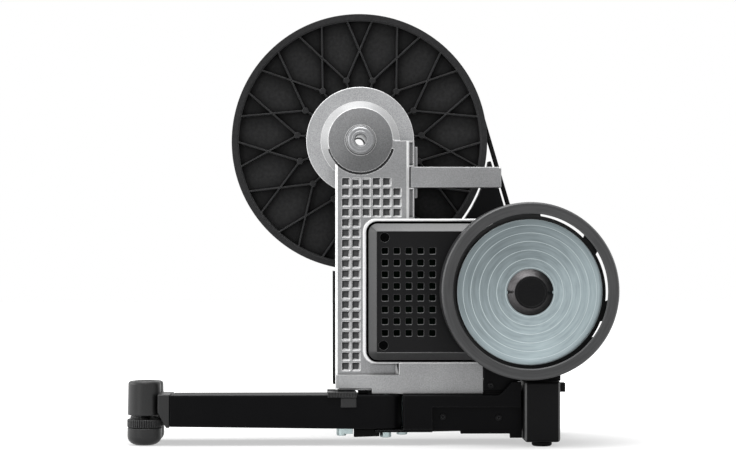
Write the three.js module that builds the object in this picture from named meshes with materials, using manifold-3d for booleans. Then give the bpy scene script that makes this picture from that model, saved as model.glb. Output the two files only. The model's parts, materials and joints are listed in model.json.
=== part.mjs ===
// Direct drive bike trainer: a cast arm carries the hub, a belt turns a flywheel, two legs fold.
// X runs from the front feet to the rear block, Y away from the flywheel side, Z up. Millimetres.
import * as THREE from "three";
import { mergeVertices } from "three/addons/utils/BufferGeometryUtils.js";
import Module from "manifold-3d";

const wasm = await Module();
wasm.setup();

// Driving sizes
const hubHeight = 338;
const dropoutWidth = 130;
const throughBoreRadius = 6.1;
const flywheelX = 184.2;
const flywheelHeight = 170.35;
const pulleyTreadRadius = 140;
const pinionTreadRadius = 10.5;
const beltThickness = 3.6;
const castFront = -57;
const castBack = -20;
const castBottom = 60.6;
const legTop = 56;
const legHalfWidth = 18.3;
const nearLegY = -50;
const farLegY = -10.7;
const farLegDrop = 2.5;
const pivotX = 28;
const footX = -239.4;
const rearBlockBack = 219.2;

// Clearances shared by many pieces
const seatGap = 0.3;
const cutOverrun = 1;
const joinOverlap = 0.5;
const mergeTolerance = 1e-4;

// Facet counts
const screwSteps = 8;
const smallSteps = 12;
const hiddenSteps = 16;
const roundSteps = 20;
const wheelSteps = 48;
const ringSteps = 56;

// Looks
const sandblasted = [0xb4b5b8, 0.42, 0.9];
const turnedSteel = [0x9a9da0, 0.3, 1];
const zincPlated = [0xa9b6ba, 0.32, 0.9];
const blackPlastic = [0x1c1c1e, 0.5, 0];
const blackPaint = [0x202022, 0.45, 0.3];
const satinGrey = [0x55585b, 0.4, 0.5];
const darkRubber = [0x141414, 0.8, 0];
const greyPlastic = [0x4a4b4d, 0.55, 0];
const boardGreen = [0x1f5a35, 0.5, 0.1];
const copperWire = [0x9a5a30, 0.4, 0.8];

// Geometry helpers
function solid(geometry) {
  const flat = geometry.index ? geometry.toNonIndexed() : geometry;
  const bare = new THREE.BufferGeometry().setAttribute("position", flat.getAttribute("position"));
  const merged = mergeVertices(bare, mergeTolerance);
  const places = merged.getAttribute("position").array;
  const corners = merged.index.array;
  const kept = [];
  let volume = 0;
  for (let i = 0; i < corners.length; i += 3) {
    const [a, b, c] = [corners[i], corners[i + 1], corners[i + 2]];
    if (a === b || b === c || a === c) continue;
    kept.push(a, b, c);
    const [va, vb, vc] = [a, b, c].map((k) => new THREE.Vector3().fromArray(places, k * 3));
    volume += va.dot(vb.cross(vc));
  }
  if (volume < 0) kept.reverse();
  const mesh = new wasm.Mesh({
    numProp: 3,
    vertProperties: places,
    triVerts: new Uint32Array(kept),
  });
  return new wasm.Manifold(mesh);
}

function joined(geometries) {
  return geometries.map(solid).reduce((whole, piece) => whole.add(piece));
}

function cutBy(body, geometries) {
  return geometries.length ? body.subtract(joined(geometries)) : body;
}

function geometryOf(body) {
  const mesh = body.getMesh();
  const geometry = new THREE.BufferGeometry();
  geometry.setAttribute("position", new THREE.BufferAttribute(mesh.vertProperties, 3));
  geometry.setIndex(new THREE.BufferAttribute(mesh.triVerts, 1));
  geometry.computeVertexNormals();
  return geometry;
}

function addPiece(group, name, shape, [color, roughness, metalness]) {
  const body = shape.isBufferGeometry ? solid(shape) : shape;
  const material = new THREE.MeshStandardMaterial({ color, roughness, metalness });
  const mesh = new THREE.Mesh(geometryOf(body), material);
  mesh.name = name;
  group.add(mesh);
  return mesh;
}

function box(x0, x1, y0, y1, z0, z1) {
  const size = [Math.abs(x1 - x0), Math.abs(y1 - y0), Math.abs(z1 - z0)];
  const middle = [(x0 + x1) / 2, (y0 + y1) / 2, (z0 + z1) / 2];
  return new THREE.BoxGeometry(...size).translate(...middle);
}

// A turned piece: its profile lists radius and place along the axis.
function turned(profile, axis, at, steps) {
  const points = profile.map(([radius, along]) => new THREE.Vector2(radius, along));
  if (profile[0][0] > 0) points.push(points[0].clone());
  const geometry = new THREE.LatheGeometry(points, steps);
  if (axis === "z") geometry.rotateX(Math.PI / 2);
  if (axis === "x") geometry.rotateZ(-Math.PI / 2);
  return geometry.translate(...at);
}

function rod(radius, start, end, axis, at, steps) {
  return turned([[0, start], [radius, start], [radius, end], [0, end]], axis, at, steps);
}

function ring(inner, outer, start, end, axis, at, steps) {
  const profile = [[inner, start], [outer, start], [outer, end], [inner, end]];
  return turned(profile, axis, at, steps);
}

// A flat outline in X and Z, extruded along Y.
function plateY(points, y0, y1) {
  const shape = new THREE.Shape(points);
  const geometry = new THREE.ExtrudeGeometry(shape, { depth: y1 - y0, bevelEnabled: false });
  return geometry.rotateX(Math.PI / 2).translate(0, y1, 0);
}

// A flat outline in X and Y, extruded along Z.
function plateZ(points, z0, z1) {
  const shape = new THREE.Shape(points);
  const geometry = new THREE.ExtrudeGeometry(shape, { depth: z1 - z0, bevelEnabled: false });
  return geometry.translate(0, 0, z0);
}

// Outlines of equal point count, each at its own place along Y, joined into one closed piece.
function lofted(levels) {
  const count = levels[0].points.length;
  const places = levels.flatMap(({ points, y }) => points.flatMap((p) => [p.x, y, p.y]));
  const corners = [];
  for (let level = 0; level + 1 < levels.length; level++) {
    for (let i = 0; i < count; i++) {
      const a = level * count + i;
      const b = level * count + ((i + 1) % count);
      corners.push(a, b, a + count, b, b + count, a + count);
    }
  }
  const last = (levels.length - 1) * count;
  for (const [a, b, c] of THREE.ShapeUtils.triangulateShape(levels[0].points, [])) {
    corners.push(a, c, b);
  }
  for (const [a, b, c] of THREE.ShapeUtils.triangulateShape(levels.at(-1).points, [])) {
    corners.push(last + a, last + b, last + c);
  }
  const geometry = new THREE.BufferGeometry();
  geometry.setAttribute("position", new THREE.Float32BufferAttribute(places, 3));
  geometry.setIndex(corners);
  return geometry;
}

function arcPoints(x, y, radius, start, end, steps) {
  const points = [];
  for (let i = 0; i <= steps; i++) {
    const angle = start + ((end - start) * i) / steps;
    points.push(new THREE.Vector2(x + radius * Math.cos(angle), y + radius * Math.sin(angle)));
  }
  return points;
}

function outline(pairs) {
  return pairs.map(([x, y]) => new THREE.Vector2(x, y));
}

const degree = Math.PI / 180;

// A screw with a socket in its head, its head's outer face at the given place.
function socketScrew(at, headRadius, headHeight, shankRadius, shankLength) {
  const socketShare = 0.5;
  const socket = headRadius * socketShare;
  const depth = headHeight * socketShare;
  const profile = [
    [0, depth],
    [socket, depth],
    [socket, 0],
    [headRadius, 0],
    [headRadius, headHeight],
    [shankRadius, headHeight],
    [shankRadius, headHeight + shankLength],
    [0, headHeight + shankLength],
  ];
  return turned(profile, "y", at, screwSteps);
}

const trainer = new THREE.Group();
const hubGroup = new THREE.Group();
hubGroup.position.set(0, 0, hubHeight);
const flywheelGroup = new THREE.Group();
flywheelGroup.position.set(flywheelX, 0, flywheelHeight);
trainer.add(hubGroup, flywheelGroup);

// Hub: axle tube, end caps and the bearings of the large pulley
const axleRadius = 10;
const axleBore = 7.5;
const capFlangeRadius = 14.4;
const capFlangeThickness = 3.2;
const capSpigotLength = 9;
const capSpigotGap = 0.3;
const farCapRadius = 11.5;
const farCapThickness = 4.7;
const bossRadius = 17.4;
const bossTipRadius = 15.6;
const bossHeight = 4.5;
const bearingRadius = 18.5;
const bearingWidth = 8;

const nearEndY = -dropoutWidth / 2;
const farEndY = dropoutWidth / 2;
const bossFrontY = castFront - bossHeight;
const axleNearY = nearEndY + capFlangeThickness + seatGap;
const axleFarY = farEndY - farCapThickness - seatGap;
const spigotRadius = axleBore - capSpigotGap;

function endCap(outerY, inward, flangeRadius, flangeThickness) {
  const flangeY = outerY + inward * flangeThickness;
  const spigotY = flangeY + inward * capSpigotLength;
  const profile = [
    [throughBoreRadius, outerY],
    [flangeRadius, outerY],
    [flangeRadius, flangeY],
    [spigotRadius, flangeY],
    [spigotRadius, spigotY],
    [throughBoreRadius, spigotY],
  ];
  return turned(profile, "y", [0, 0, 0], roundSteps);
}

addPiece(
  hubGroup,
  "hub_axle",
  ring(axleBore, axleRadius, axleNearY, axleFarY, "y", [0, 0, 0], hiddenSteps),
  turnedSteel,
);
addPiece(hubGroup, "end_cap_near", endCap(nearEndY, 1, capFlangeRadius, capFlangeThickness), sandblasted);
addPiece(hubGroup, "end_cap_far", endCap(farEndY, -1, farCapRadius, farCapThickness), sandblasted);

// Large pulley with crossing ribs
const pulleyNearY = -13;
const pulleyFarY = 10;
const flangeHeight = 4.5;
const flangeThickness = 2.2;
const rimThickness = 3.5;
const webNearY = -3.5;
const webThickness = 4;
const ribFrontY = -11;
const ribWidth = 2.6;
const ribNodes = 15;
const ribNodeRadius = 70.7;
const ribEndInset = 1.7;
const ribNodeAngle = 6 * degree;
const ribSpread = 17.8 * degree;
const ribKnobRadius = 3.2;
const pulleyHubRadius = 30;

const pulleyFlangeRadius = pulleyTreadRadius + flangeHeight;
const rimInnerRadius = pulleyTreadRadius - rimThickness;
const ribEndRadius = rimInnerRadius - ribEndInset;
const webFarY = webNearY + webThickness;
const pulleyBore = bearingRadius + seatGap;

function ribBetween(from, to) {
  const length = from.distanceTo(to) + joinOverlap * 2;
  const angle = Math.atan2(to.y - from.y, to.x - from.x);
  const bar = new THREE.BoxGeometry(length, webNearY + joinOverlap - ribFrontY, ribWidth);
  bar.rotateY(-angle);
  const middle = from.clone().add(to).divideScalar(2);
  return bar.translate(middle.x, (webNearY + joinOverlap + ribFrontY) / 2, middle.y);
}

function polar(radius, angle) {
  return new THREE.Vector2(radius * Math.cos(angle), radius * Math.sin(angle));
}

function pulleyWheel() {
  const profile = [
    [pulleyBore, pulleyNearY],
    [pulleyHubRadius, pulleyNearY],
    [pulleyHubRadius, webNearY],
    [rimInnerRadius, webNearY],
    [rimInnerRadius, pulleyNearY],
    [pulleyFlangeRadius, pulleyNearY],
    [pulleyFlangeRadius, pulleyNearY + flangeThickness],
    [pulleyTreadRadius, pulleyNearY + flangeThickness],
    [pulleyTreadRadius, pulleyFarY - flangeThickness],
    [pulleyFlangeRadius, pulleyFarY - flangeThickness],
    [pulleyFlangeRadius, pulleyFarY],
    [rimInnerRadius, pulleyFarY],
    [rimInnerRadius, webFarY],
    [pulleyHubRadius, webFarY],
    [pulleyHubRadius, pulleyFarY],
    [pulleyBore, pulleyFarY],
  ];
  const pieces = [turned(profile, "y", [0, 0, 0], ringSteps)];
  for (let i = 0; i < ribNodes; i++) {
    const angle = ribNodeAngle + (i * 2 * Math.PI) / ribNodes;
    const node = polar(ribNodeRadius, angle);
    for (const side of [-1, 1]) {
      pieces.push(ribBetween(node, polar(ribEndRadius + ribWidth, angle + side * ribSpread)));
    }
    pieces.push(ribBetween(polar(pulleyHubRadius, angle), node));
    const knobAt = [node.x, 0, node.y];
    pieces.push(rod(ribKnobRadius, ribFrontY, webNearY + joinOverlap, "y", knobAt, smallSteps / 2));
  }
  return joined(pieces);
}

addPiece(hubGroup, "pulley_wheel", pulleyWheel(), blackPlastic);
const bearingPlaces = [
  ["pulley_bearing_near", pulleyNearY + seatGap],
  ["pulley_bearing_far", pulleyFarY - seatGap - bearingWidth],
];
for (const [name, start] of bearingPlaces) {
  const inner = axleRadius + seatGap;
  const bearing = ring(inner, bearingRadius, start, start + bearingWidth, "y", [0, 0, 0], hiddenSteps);
  addPiece(hubGroup, name, bearing, turnedSteel);
}

// Freehub, cassette and lock ring
const chainPitch = 12.7;
const sprocketTeeth = [28, 24, 21, 19, 17, 15, 13, 11];
const sprocketSpacing = 5.2;
const sprocketThickness = 1.8;
const toothRoot = 3.8;
const toothTip = 3.2;
const freehubRadius = 17;
const freehubFlangeRadius = 24;
const freehubFlangeThickness = 6.4;
const cassetteCoreRadius = 18.1;
const lockRingRadius = 16.6;
const lockRingThickness = 2;
const lockRingBore = 12.4;

const freehubNearY = pulleyFarY + 2 * seatGap;
const cassetteNearY = freehubNearY + freehubFlangeThickness + seatGap;
const lastSprocketY = cassetteNearY + (sprocketTeeth.length - 1) * sprocketSpacing;
const cassetteFarY = lastSprocketY + sprocketThickness;
const freehubFarY = cassetteFarY - sprocketThickness;

function sprocket(teeth, y) {
  const pitchRadius = chainPitch / (2 * Math.sin(Math.PI / teeth));
  const points = [];
  for (let tooth = 0; tooth < teeth; tooth++) {
    points.push(polar(pitchRadius - toothRoot, (tooth * 2 * Math.PI) / teeth));
    points.push(polar(pitchRadius + toothTip, ((tooth + 1 / 2) * 2 * Math.PI) / teeth));
  }
  return plateY(points, y, y + sprocketThickness);
}

function cassette() {
  const core = rod(cassetteCoreRadius, cassetteNearY, cassetteFarY, "y", [0, 0, 0], hiddenSteps);
  const discs = sprocketTeeth.map((teeth, i) => sprocket(teeth, cassetteNearY + i * sprocketSpacing));
  const bore = freehubRadius + seatGap;
  const cutStart = cassetteNearY - cutOverrun;
  const hole = rod(bore, cutStart, cassetteFarY + cutOverrun, "y", [0, 0, 0], hiddenSteps);
  return cutBy(joined([core, ...discs]), [hole]);
}

const freehubProfile = [
  [axleRadius + seatGap, freehubNearY],
  [freehubFlangeRadius, freehubNearY],
  [freehubFlangeRadius, freehubNearY + freehubFlangeThickness],
  [freehubRadius, freehubNearY + freehubFlangeThickness],
  [freehubRadius, freehubFarY],
  [axleRadius + seatGap, freehubFarY],
];
addPiece(hubGroup, "freehub_body", turned(freehubProfile, "y", [0, 0, 0], hiddenSteps), turnedSteel);
addPiece(hubGroup, "cassette", cassette(), turnedSteel);
const lockRingNearY = cassetteFarY + seatGap;
addPiece(
  hubGroup,
  "cassette_lock_ring",
  ring(lockRingBore, lockRingRadius + toothRoot, lockRingNearY, lockRingNearY + lockRingThickness,
    "y", [0, 0, 0], hiddenSteps),
  turnedSteel,
);

// Flywheel: stepped disc, conical nut, cap, shaft and belt pinion
const guardRadius = 96.8;
const guardLipWidth = 12.5;
const guardShiftX = -0.8;
const guardShiftZ = 1.5;
const discLipGap = 4.4;
const discFrontY = -98;
const discThickness = 22;
const discEdge = 0.5;
const discStepShares = [0.33417, 0.45307, 0.57196, 0.69086, 0.80726, 0.91239];
const discStepHeight = 0.6;
const discStepSlope = 0.9;
const shaftRadius = 6;
const shaftFarY = 12;
const nutRadius = 25.4;
const nutTopRadius = 18.6;
const nutEdge = 1.5;
const nutHeight = 8;
const capRadius = 17.7;
const capThickness = 3.2;
const capEdge = 0.8;
const pinionFlangeRadius = 16;

const guardLipRadius = guardRadius - guardLipWidth;
const discRadius = guardLipRadius - discLipGap;
const discStepRadii = discStepShares.map((share) => share * discRadius);
const discBackY = discFrontY + discThickness;
const discBore = shaftRadius + seatGap;

function flywheelDisc() {
  const front = [[discBore, discFrontY]];
  discStepRadii.forEach((radius, i) => {
    const level = discFrontY + i * discStepHeight;
    front.push([radius, level], [radius + discStepSlope, level + discStepHeight]);
  });
  const edgeLevel = discFrontY + discStepRadii.length * discStepHeight;
  const profile = [
    ...front,
    [discRadius - discEdge, edgeLevel],
    [discRadius, edgeLevel + discEdge],
    [discRadius, discBackY - discEdge],
    [discRadius - discEdge, discBackY],
    [discBore, discBackY],
  ];
  return turned(profile, "y", [0, 0, 0], wheelSteps);
}

const nutBackY = discFrontY - seatGap;
const nutFrontY = nutBackY - nutHeight;
const capBackY = nutFrontY - seatGap;
const nutProfile = [
  [discBore, nutBackY],
  [nutRadius, nutBackY],
  [nutRadius, nutBackY - nutEdge],
  [nutTopRadius, nutFrontY],
  [discBore, nutFrontY],
];
const capProfile = [
  [0, capBackY],
  [capRadius, capBackY],
  [capRadius, capBackY - capThickness + capEdge],
  [capRadius - capEdge, capBackY - capThickness],
  [0, capBackY - capThickness],
];
addPiece(flywheelGroup, "flywheel_disc", flywheelDisc(), zincPlated);
addPiece(flywheelGroup, "flywheel_nut", turned(nutProfile, "y", [0, 0, 0], roundSteps), turnedSteel);
addPiece(flywheelGroup, "flywheel_cap", turned(capProfile, "y", [0, 0, 0], roundSteps), blackPlastic);
addPiece(
  flywheelGroup,
  "flywheel_shaft",
  rod(shaftRadius, nutFrontY, shaftFarY, "y", [0, 0, 0], smallSteps),
  turnedSteel,
);
const pinionBore = shaftRadius + seatGap;
const pinionProfile = [
  [pinionBore, pulleyNearY],
  [pinionFlangeRadius, pulleyNearY],
  [pinionFlangeRadius, pulleyNearY + flangeThickness],
  [pinionTreadRadius, pulleyNearY + flangeThickness],
  [pinionTreadRadius, pulleyFarY - flangeThickness],
  [pinionFlangeRadius, pulleyFarY - flangeThickness],
  [pinionFlangeRadius, pulleyFarY],
  [pinionBore, pulleyFarY],
];
addPiece(flywheelGroup, "belt_pinion", turned(pinionProfile, "y", [0, 0, 0], roundSteps), turnedSteel);

// Belt round both treads
const beltSideGap = 0.5;
const beltLongSteps = 42;
const beltShortSteps = 8;

const centreAngle = Math.atan2(flywheelHeight - hubHeight, flywheelX);
const centreDistance = Math.hypot(flywheelHeight - hubHeight, flywheelX);
const wrapAngle = Math.acos((pulleyTreadRadius - pinionTreadRadius) / centreDistance);

function beltOutline(offset) {
  const long = arcPoints(0, hubHeight, pulleyTreadRadius + offset,
    centreAngle + wrapAngle, centreAngle - wrapAngle + 2 * Math.PI, beltLongSteps);
  const short = arcPoints(flywheelX, flywheelHeight, pinionTreadRadius + offset,
    centreAngle - wrapAngle, centreAngle + wrapAngle, beltShortSteps);
  return [...long, ...short];
}

const beltNearY = pulleyNearY + flangeThickness + beltSideGap;
const beltFarY = pulleyFarY - flangeThickness - beltSideGap;
const beltOuter = solid(plateY(beltOutline(seatGap + beltThickness), beltNearY, beltFarY));
const beltInner = plateY(beltOutline(seatGap), beltNearY - cutOverrun, beltFarY + cutOverrun);
addPiece(trainer, "drive_belt", cutBy(beltOuter, [beltInner]), darkRubber);

// Brake cover outline: straight on the left, round about the flywheel on the right
const coverLeft = 8.8;
const coverDrop = 75.95;
const coverRoof = 75.05;
const coverCorner = 10;
const coverWall = 3;
const coverFace = 2.5;
const coverRise = 4.4;
const coverBevel = 9;
const coverBevelInset = 8.3;
const cornerSteps = 4;
const endSteps = 14;
const leastCorner = 1;

const coverBottom = flywheelHeight - coverDrop;
const coverTop = flywheelHeight + coverRoof;

function coverOutline(inset) {
  const left = coverLeft + inset;
  const bottom = coverBottom + inset;
  const top = coverTop - inset;
  const corner = Math.max(coverCorner - inset, leastCorner);
  const middle = (coverBottom + coverTop) / 2;
  return [
    ...arcPoints(left + corner, bottom + corner, corner, Math.PI, 1.5 * Math.PI, cornerSteps),
    ...arcPoints(flywheelX, middle, (top - bottom) / 2, -Math.PI / 2, Math.PI / 2, endSteps),
    ...arcPoints(left + corner, top - corner, corner, Math.PI / 2, Math.PI, cornerSteps),
  ];
}

// Main casting: arm, hub flange, foot block and the tray behind the brake cover
const armLeft = -27.8;
const armRight = 59.9;
const armEdge = 2.4;
const armFaceWall = 5.5;
const armSideWall = 4;
const shoulderDrop = 0.6;
const domeFaceRadius = 35.9;
const domeRootRadius = 43.8;
const domeHeight = 13;
const hubFlangeRadius = 60.2;
const hubFlangeFrontY = -40;
const hubPocketInner = 24;
const hubPocketOuter = 54;
const hubFlangeWall = 5;
const grooveInner = 36;
const grooveOuter = 38.2;
const grooveDepth = 1.6;
const grooveStart = -164 * degree;
const grooveEnd = -15 * degree;
const blockRight = 136.3;
const blockTop = 77.9;
const blockRise = 2.5;
const blockCorner = 5;
const blockCoverGap = 2.4;
const blockLipBottom = 56.3;
const notchRight = 12.3;
const notchTop = 62.4;
const trayLeft = 2.6;
const trayRadius = 80.4;
const trayRise = 1.2;
const trayCorner = 14;
const trayRim = 4;
const trayBackWall = 6;
const rampLeft = 10;
const rampRight = 42.6;
const rampLap = 0.2;
const rampDepth = 7;
const channelWidth = 4.2;
const channelWall = 1.5;
const channelDepth = 7;
const channelEdge = 3;
const channelBridge = 1.5;
const sideRibWidth = 4;
const sideRibFront = -45;
const sideRibDrop = 64;
const sideRibLength = 57;
const bossWallRadius = 20;
const shaftBearingRadius = 14;
const shaftBearingWidth = 8;
const bossFront = -44;
const postRadius = 3.5;
const postHeight = 14;
const boardLeft = 20;
const boardRight = 86;
const boardFootGap = 12;
const boardHeadGap = 11.4;
const boardThickness = 1.6;
const postInset = 8;

const armTop = hubHeight - shoulderDrop;
const trayTop = flywheelHeight + trayRadius;
const trayBottom = flywheelHeight - trayRadius;
const rampTop = trayBottom + rampLap;
const sideRibBottom = hubHeight - sideRibDrop;
const sideRibTop = sideRibBottom + sideRibLength;
const boardBottom = coverBottom + boardFootGap;
const boardTop = coverTop - boardHeadGap;

// Waffle pits over the arm's face
const pitPitch = 11.38;
const pitSize = 8.9;
const pitFloor = 5.6;
const pitDepth = 2.8;
const pitLeft = -16;
const pitDrop = 46.6;
const pitFootGap = 8.6;
const pitTrayGap = 5.8;
const wideColumns = 6;
const narrowColumns = 2;

const pitTop = hubHeight - pitDrop;
const pitRows = Math.floor((pitTop - blockTop - pitFootGap) / pitPitch) + 1;
const wideRows = Math.floor((pitTop - trayTop - pitTrayGap) / pitPitch) + 1;

// The carry handle sits between the tray and the arm's top, a share of the free height up
const handleHeight = 23;
const handleRiseShare = 0.54438;

const handleBottom = trayTop + (armTop - trayTop - handleHeight) * handleRiseShare;
const handleTop = handleBottom + handleHeight;
const lipBackY = castFront;
const seatFrontY = lipBackY + seatGap;

function squarePit(x, z) {
  const tip = castFront - cutOverrun;
  const slope = (pitSize - pitFloor) / (2 * pitDepth);
  const mouth = pitSize / 2 + slope * cutOverrun;
  const floor = pitFloor / 2;
  const square = (half) => outline([
    [x - half, z - half], [x + half, z - half], [x + half, z + half], [x - half, z + half],
  ]);
  return lofted([
    { points: square(mouth), y: tip },
    { points: square(floor), y: castFront + pitDepth },
  ]);
}

function wafflePits() {
  const pits = [];
  for (let row = 0; row < pitRows; row++) {
    let columns = row < wideRows ? wideColumns : narrowColumns;
    if (row === 0) columns -= 1;
    for (let column = 0; column < columns; column++) {
      pits.push(squarePit(pitLeft + column * pitPitch, pitTop - row * pitPitch));
    }
  }
  return pits;
}

function armOutline() {
  return outline([
    [armLeft, castBack],
    [armLeft, castFront + armEdge],
    [armLeft + armEdge, castFront],
    [armRight - channelWidth - channelWall - channelEdge, castFront],
    [armRight - channelWidth - channelWall, castFront + channelEdge],
    [armRight, castFront + channelEdge],
    [armRight, castBack],
  ]);
}

function footBlock() {
  const front = castFront - blockRise;
  const rounded = arcPoints(armLeft + blockCorner, front + blockCorner, blockCorner,
    Math.PI, 1.5 * Math.PI, cornerSteps);
  const points = [...rounded, ...outline([
    [blockRight, front], [blockRight, castBack], [armLeft, castBack],
  ])];
  const low = plateZ(points, blockLipBottom, blockTop);
  const high = box(rampRight, blockRight, front, castBack, blockTop - joinOverlap,
    coverBottom - blockCoverGap);
  return [low, high];
}

function trayOutline() {
  return [
    ...arcPoints(trayLeft + trayCorner, trayBottom + trayCorner, trayCorner,
      Math.PI, 1.5 * Math.PI, cornerSteps),
    ...arcPoints(flywheelX, flywheelHeight, trayRadius, -Math.PI / 2, Math.PI / 2, endSteps),
    ...arcPoints(trayLeft + trayCorner, trayTop - trayCorner, trayCorner,
      Math.PI / 2, Math.PI, cornerSteps),
  ];
}

const bossBackY = castBack - trayBackWall;
const postTopY = bossBackY - postHeight;
const postPlaces = [boardLeft + postInset, boardRight - postInset].flatMap((x) =>
  [boardBottom + postInset, boardTop - postInset].map((z) => [x, 0, z]),
);
const flywheelAt = [flywheelX, 0, flywheelHeight];
const hubAt = [0, 0, hubHeight];

function trayHollow() {
  const hollow = solid(plateY(coverOutline(trayRim), castFront - trayRise - cutOverrun, bossBackY));
  const kept = [rod(bossWallRadius, bossFront, castBack, "y", flywheelAt, roundSteps)];
  for (const at of postPlaces) kept.push(rod(postRadius, postTopY, castBack, "y", at, smallSteps));
  return cutBy(hollow, kept);
}

// Pockets open to the far side keep the walls even
const pocketRib = 4;
const pocketPitch = 45;
const pocketFoot = 66;
const pocketDrop = 54;
const blockPocketTop = 86;
const blockPockets = 4;
const pocketHead = hubHeight - pocketDrop;

function backPockets() {
  const front = castFront + armFaceWall;
  const back = castBack + cutOverrun;
  const pockets = [];
  const left = armLeft + armSideWall;
  const right = coverLeft;
  for (let z = pocketFoot; z + pocketPitch < pocketHead + pocketRib; z += pocketPitch) {
    pockets.push(box(left, right, front, back, z, z + pocketPitch - pocketRib));
  }
  const channelLeft = armRight - channelWidth - channelWall - armSideWall;
  pockets.push(box(right + pocketRib, channelLeft, front, back, trayTop + pocketRib, pocketHead));
  const blockPitch = (blockRight - right) / blockPockets;
  for (let i = 0; i < blockPockets; i++) {
    const start = right + pocketRib + i * blockPitch;
    pockets.push(box(start, start + blockPitch - pocketRib, front, back, pocketFoot, blockPocketTop));
  }
  return pockets;
}

function grooveCut() {
  const outer = arcPoints(0, hubHeight, grooveOuter, grooveStart, grooveEnd, roundSteps);
  const inner = arcPoints(0, hubHeight, grooveInner, grooveEnd, grooveStart, roundSteps);
  return plateY([...outer, ...inner], castFront - cutOverrun, castFront + grooveDepth);
}

// Two narrow pockets in the arm's right edge, above and below the handle's slot
function channelPockets() {
  const left = armRight - channelWidth - channelWall;
  const right = armRight - channelWall;
  const pocket = (bottom, top) =>
    box(left, right, castFront - cutOverrun, castFront + channelDepth, bottom, top);
  return [
    pocket(handleTop + channelBridge, armTop - channelBridge),
    pocket(trayTop + channelBridge, handleBottom - channelBridge),
  ];
}

// Bolts of the carry handle
const handleFrontY = -54;
const handleBackY = -28;
const handleRight = 157;
const handleEdge = 2;
const handleBoltRadius = 2.5;
const handleBoltHead = 4.5;
const handleBoltHeadHeight = 4;
const handleBoltReach = 12;
const handleBoltInset = 6.5;
const handleBoltY = -36;
const handleBoltHeights = [handleBottom + handleBoltInset, handleTop - handleBoltInset];
const boltHeadX = armRight - channelWidth - channelWall - armSideWall - seatGap;
const boltTipX = armRight + handleBoltReach;

const bracketEarWidth = 14;
const bracketEarTop = 72;
const bracketEarThickness = 6;
const panelThickness = 4;
const panelFrontY = -60;

function mainCasting() {
  const domeRootY = castFront + domeHeight;
  const dome = turned([
    [0, castFront], [domeFaceRadius, castFront], [domeRootRadius, domeRootY],
    [domeRootRadius, castBack], [0, castBack],
  ], "y", hubAt, wheelSteps);
  const flange = rod(hubFlangeRadius, hubFlangeFrontY, castBack, "y", hubAt, wheelSteps);
  const boss = turned([
    [0, bossFrontY], [bossTipRadius, bossFrontY], [bossRadius, castFront + joinOverlap],
    [0, castFront + joinOverlap],
  ], "y", hubAt, roundSteps);
  const arm = plateZ(armOutline(), castBottom, armTop);
  const tray = plateY(trayOutline(), castFront - trayRise, castBack);
  const sideRib = box(armRight - joinOverlap, armRight + sideRibWidth, sideRibFront, castBack,
    sideRibBottom, sideRibTop);
  const ear = box(blockRight - joinOverlap, blockRight + bracketEarWidth,
    panelFrontY + panelThickness + seatGap,
    panelFrontY + panelThickness + seatGap + bracketEarThickness, castBottom, bracketEarTop);
  const body = joined([dome, flange, boss, arm, ...footBlock(), tray, sideRib, ear]);

  const frontOverrun = castFront - blockRise - cutOverrun;
  const nearHandle = handleBottom - seatGap;
  const cuts = [
    ...wafflePits(),
    ...backPockets(),
    grooveCut(),
    box(armLeft - cutOverrun, notchRight, frontOverrun, castBack + cutOverrun,
      blockLipBottom - cutOverrun, notchTop),
    box(notchRight - cutOverrun, blockRight + cutOverrun, lipBackY, castBack + cutOverrun,
      blockLipBottom - cutOverrun, castBottom),
    plateZ(outline([
      [rampLeft, castFront - blockRise - cutOverrun], [rampRight, castFront - blockRise - cutOverrun],
      [rampRight, castFront + rampDepth], [rampLeft, castFront],
    ]), blockTop, rampTop),
    ring(hubPocketInner, hubPocketOuter, hubFlangeFrontY + hubFlangeWall, castBack + cutOverrun,
      "y", hubAt, wheelSteps),
    rod(axleRadius + seatGap, bossFrontY - cutOverrun, castBack + cutOverrun, "y", hubAt, roundSteps),
    rod(shaftBearingRadius + seatGap, bossFront - cutOverrun, castBack + cutOverrun,
      "y", flywheelAt, roundSteps),
    box(armRight - channelWidth - channelWall, armRight + cutOverrun,
      castFront - cutOverrun, castFront + channelDepth, nearHandle, handleTop + seatGap),
    ...channelPockets(),
    box(armRight - seatGap, armRight + sideRibWidth + cutOverrun, sideRibFront - cutOverrun,
      castBack + cutOverrun, nearHandle, handleTop + seatGap),
  ];
  for (const z of handleBoltHeights) {
    const hole = handleBoltRadius + seatGap;
    const head = handleBoltHead + seatGap;
    cuts.push(rod(hole, boltHeadX, armRight + cutOverrun, "x", [0, handleBoltY, z], smallSteps));
    cuts.push(rod(head, boltHeadX - armSideWall, boltHeadX + seatGap, "x",
      [0, handleBoltY, z], smallSteps));
  }
  cuts.push(rod(panelScrewShank + seatGap, panelFrontY, panelFrontY + panelScrewLength + cutOverrun,
    "y", panelScrewPlaces[0], smallSteps));
  const boltBoss = rod(frameBoltBoss, castBottom, blockPocketTop + joinOverlap, "z", frameBoltAt,
    smallSteps);
  const boltHole = rod(frameBoltRadius + seatGap, castBottom - cutOverrun,
    castBottom + frameBoltGrip, "z", frameBoltAt, smallSteps);
  return cutBy(body.subtract(joined(cuts)).subtract(trayHollow()).add(solid(boltBoss)), [boltHole]);
}

// Frame bolt and panel screws, shared with the casting and the frame
const frameBoltRadius = 4;
const frameBoltGrip = 16;
const frameBoltAt = [47.1, -30.35, 0];
const frameBoltBoss = 8;
const panelScrewHead = 3.4;
const panelScrewHeadHeight = 2.2;
const panelScrewShank = 1.8;
const panelScrewLength = 10;
const panelScrewPlaces = [[144.5, 0, 65.9], [91.1, 0, 31.4], [153, 0, 30.3]];

addPiece(trainer, "main_casting", mainCasting(), sandblasted);

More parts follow.
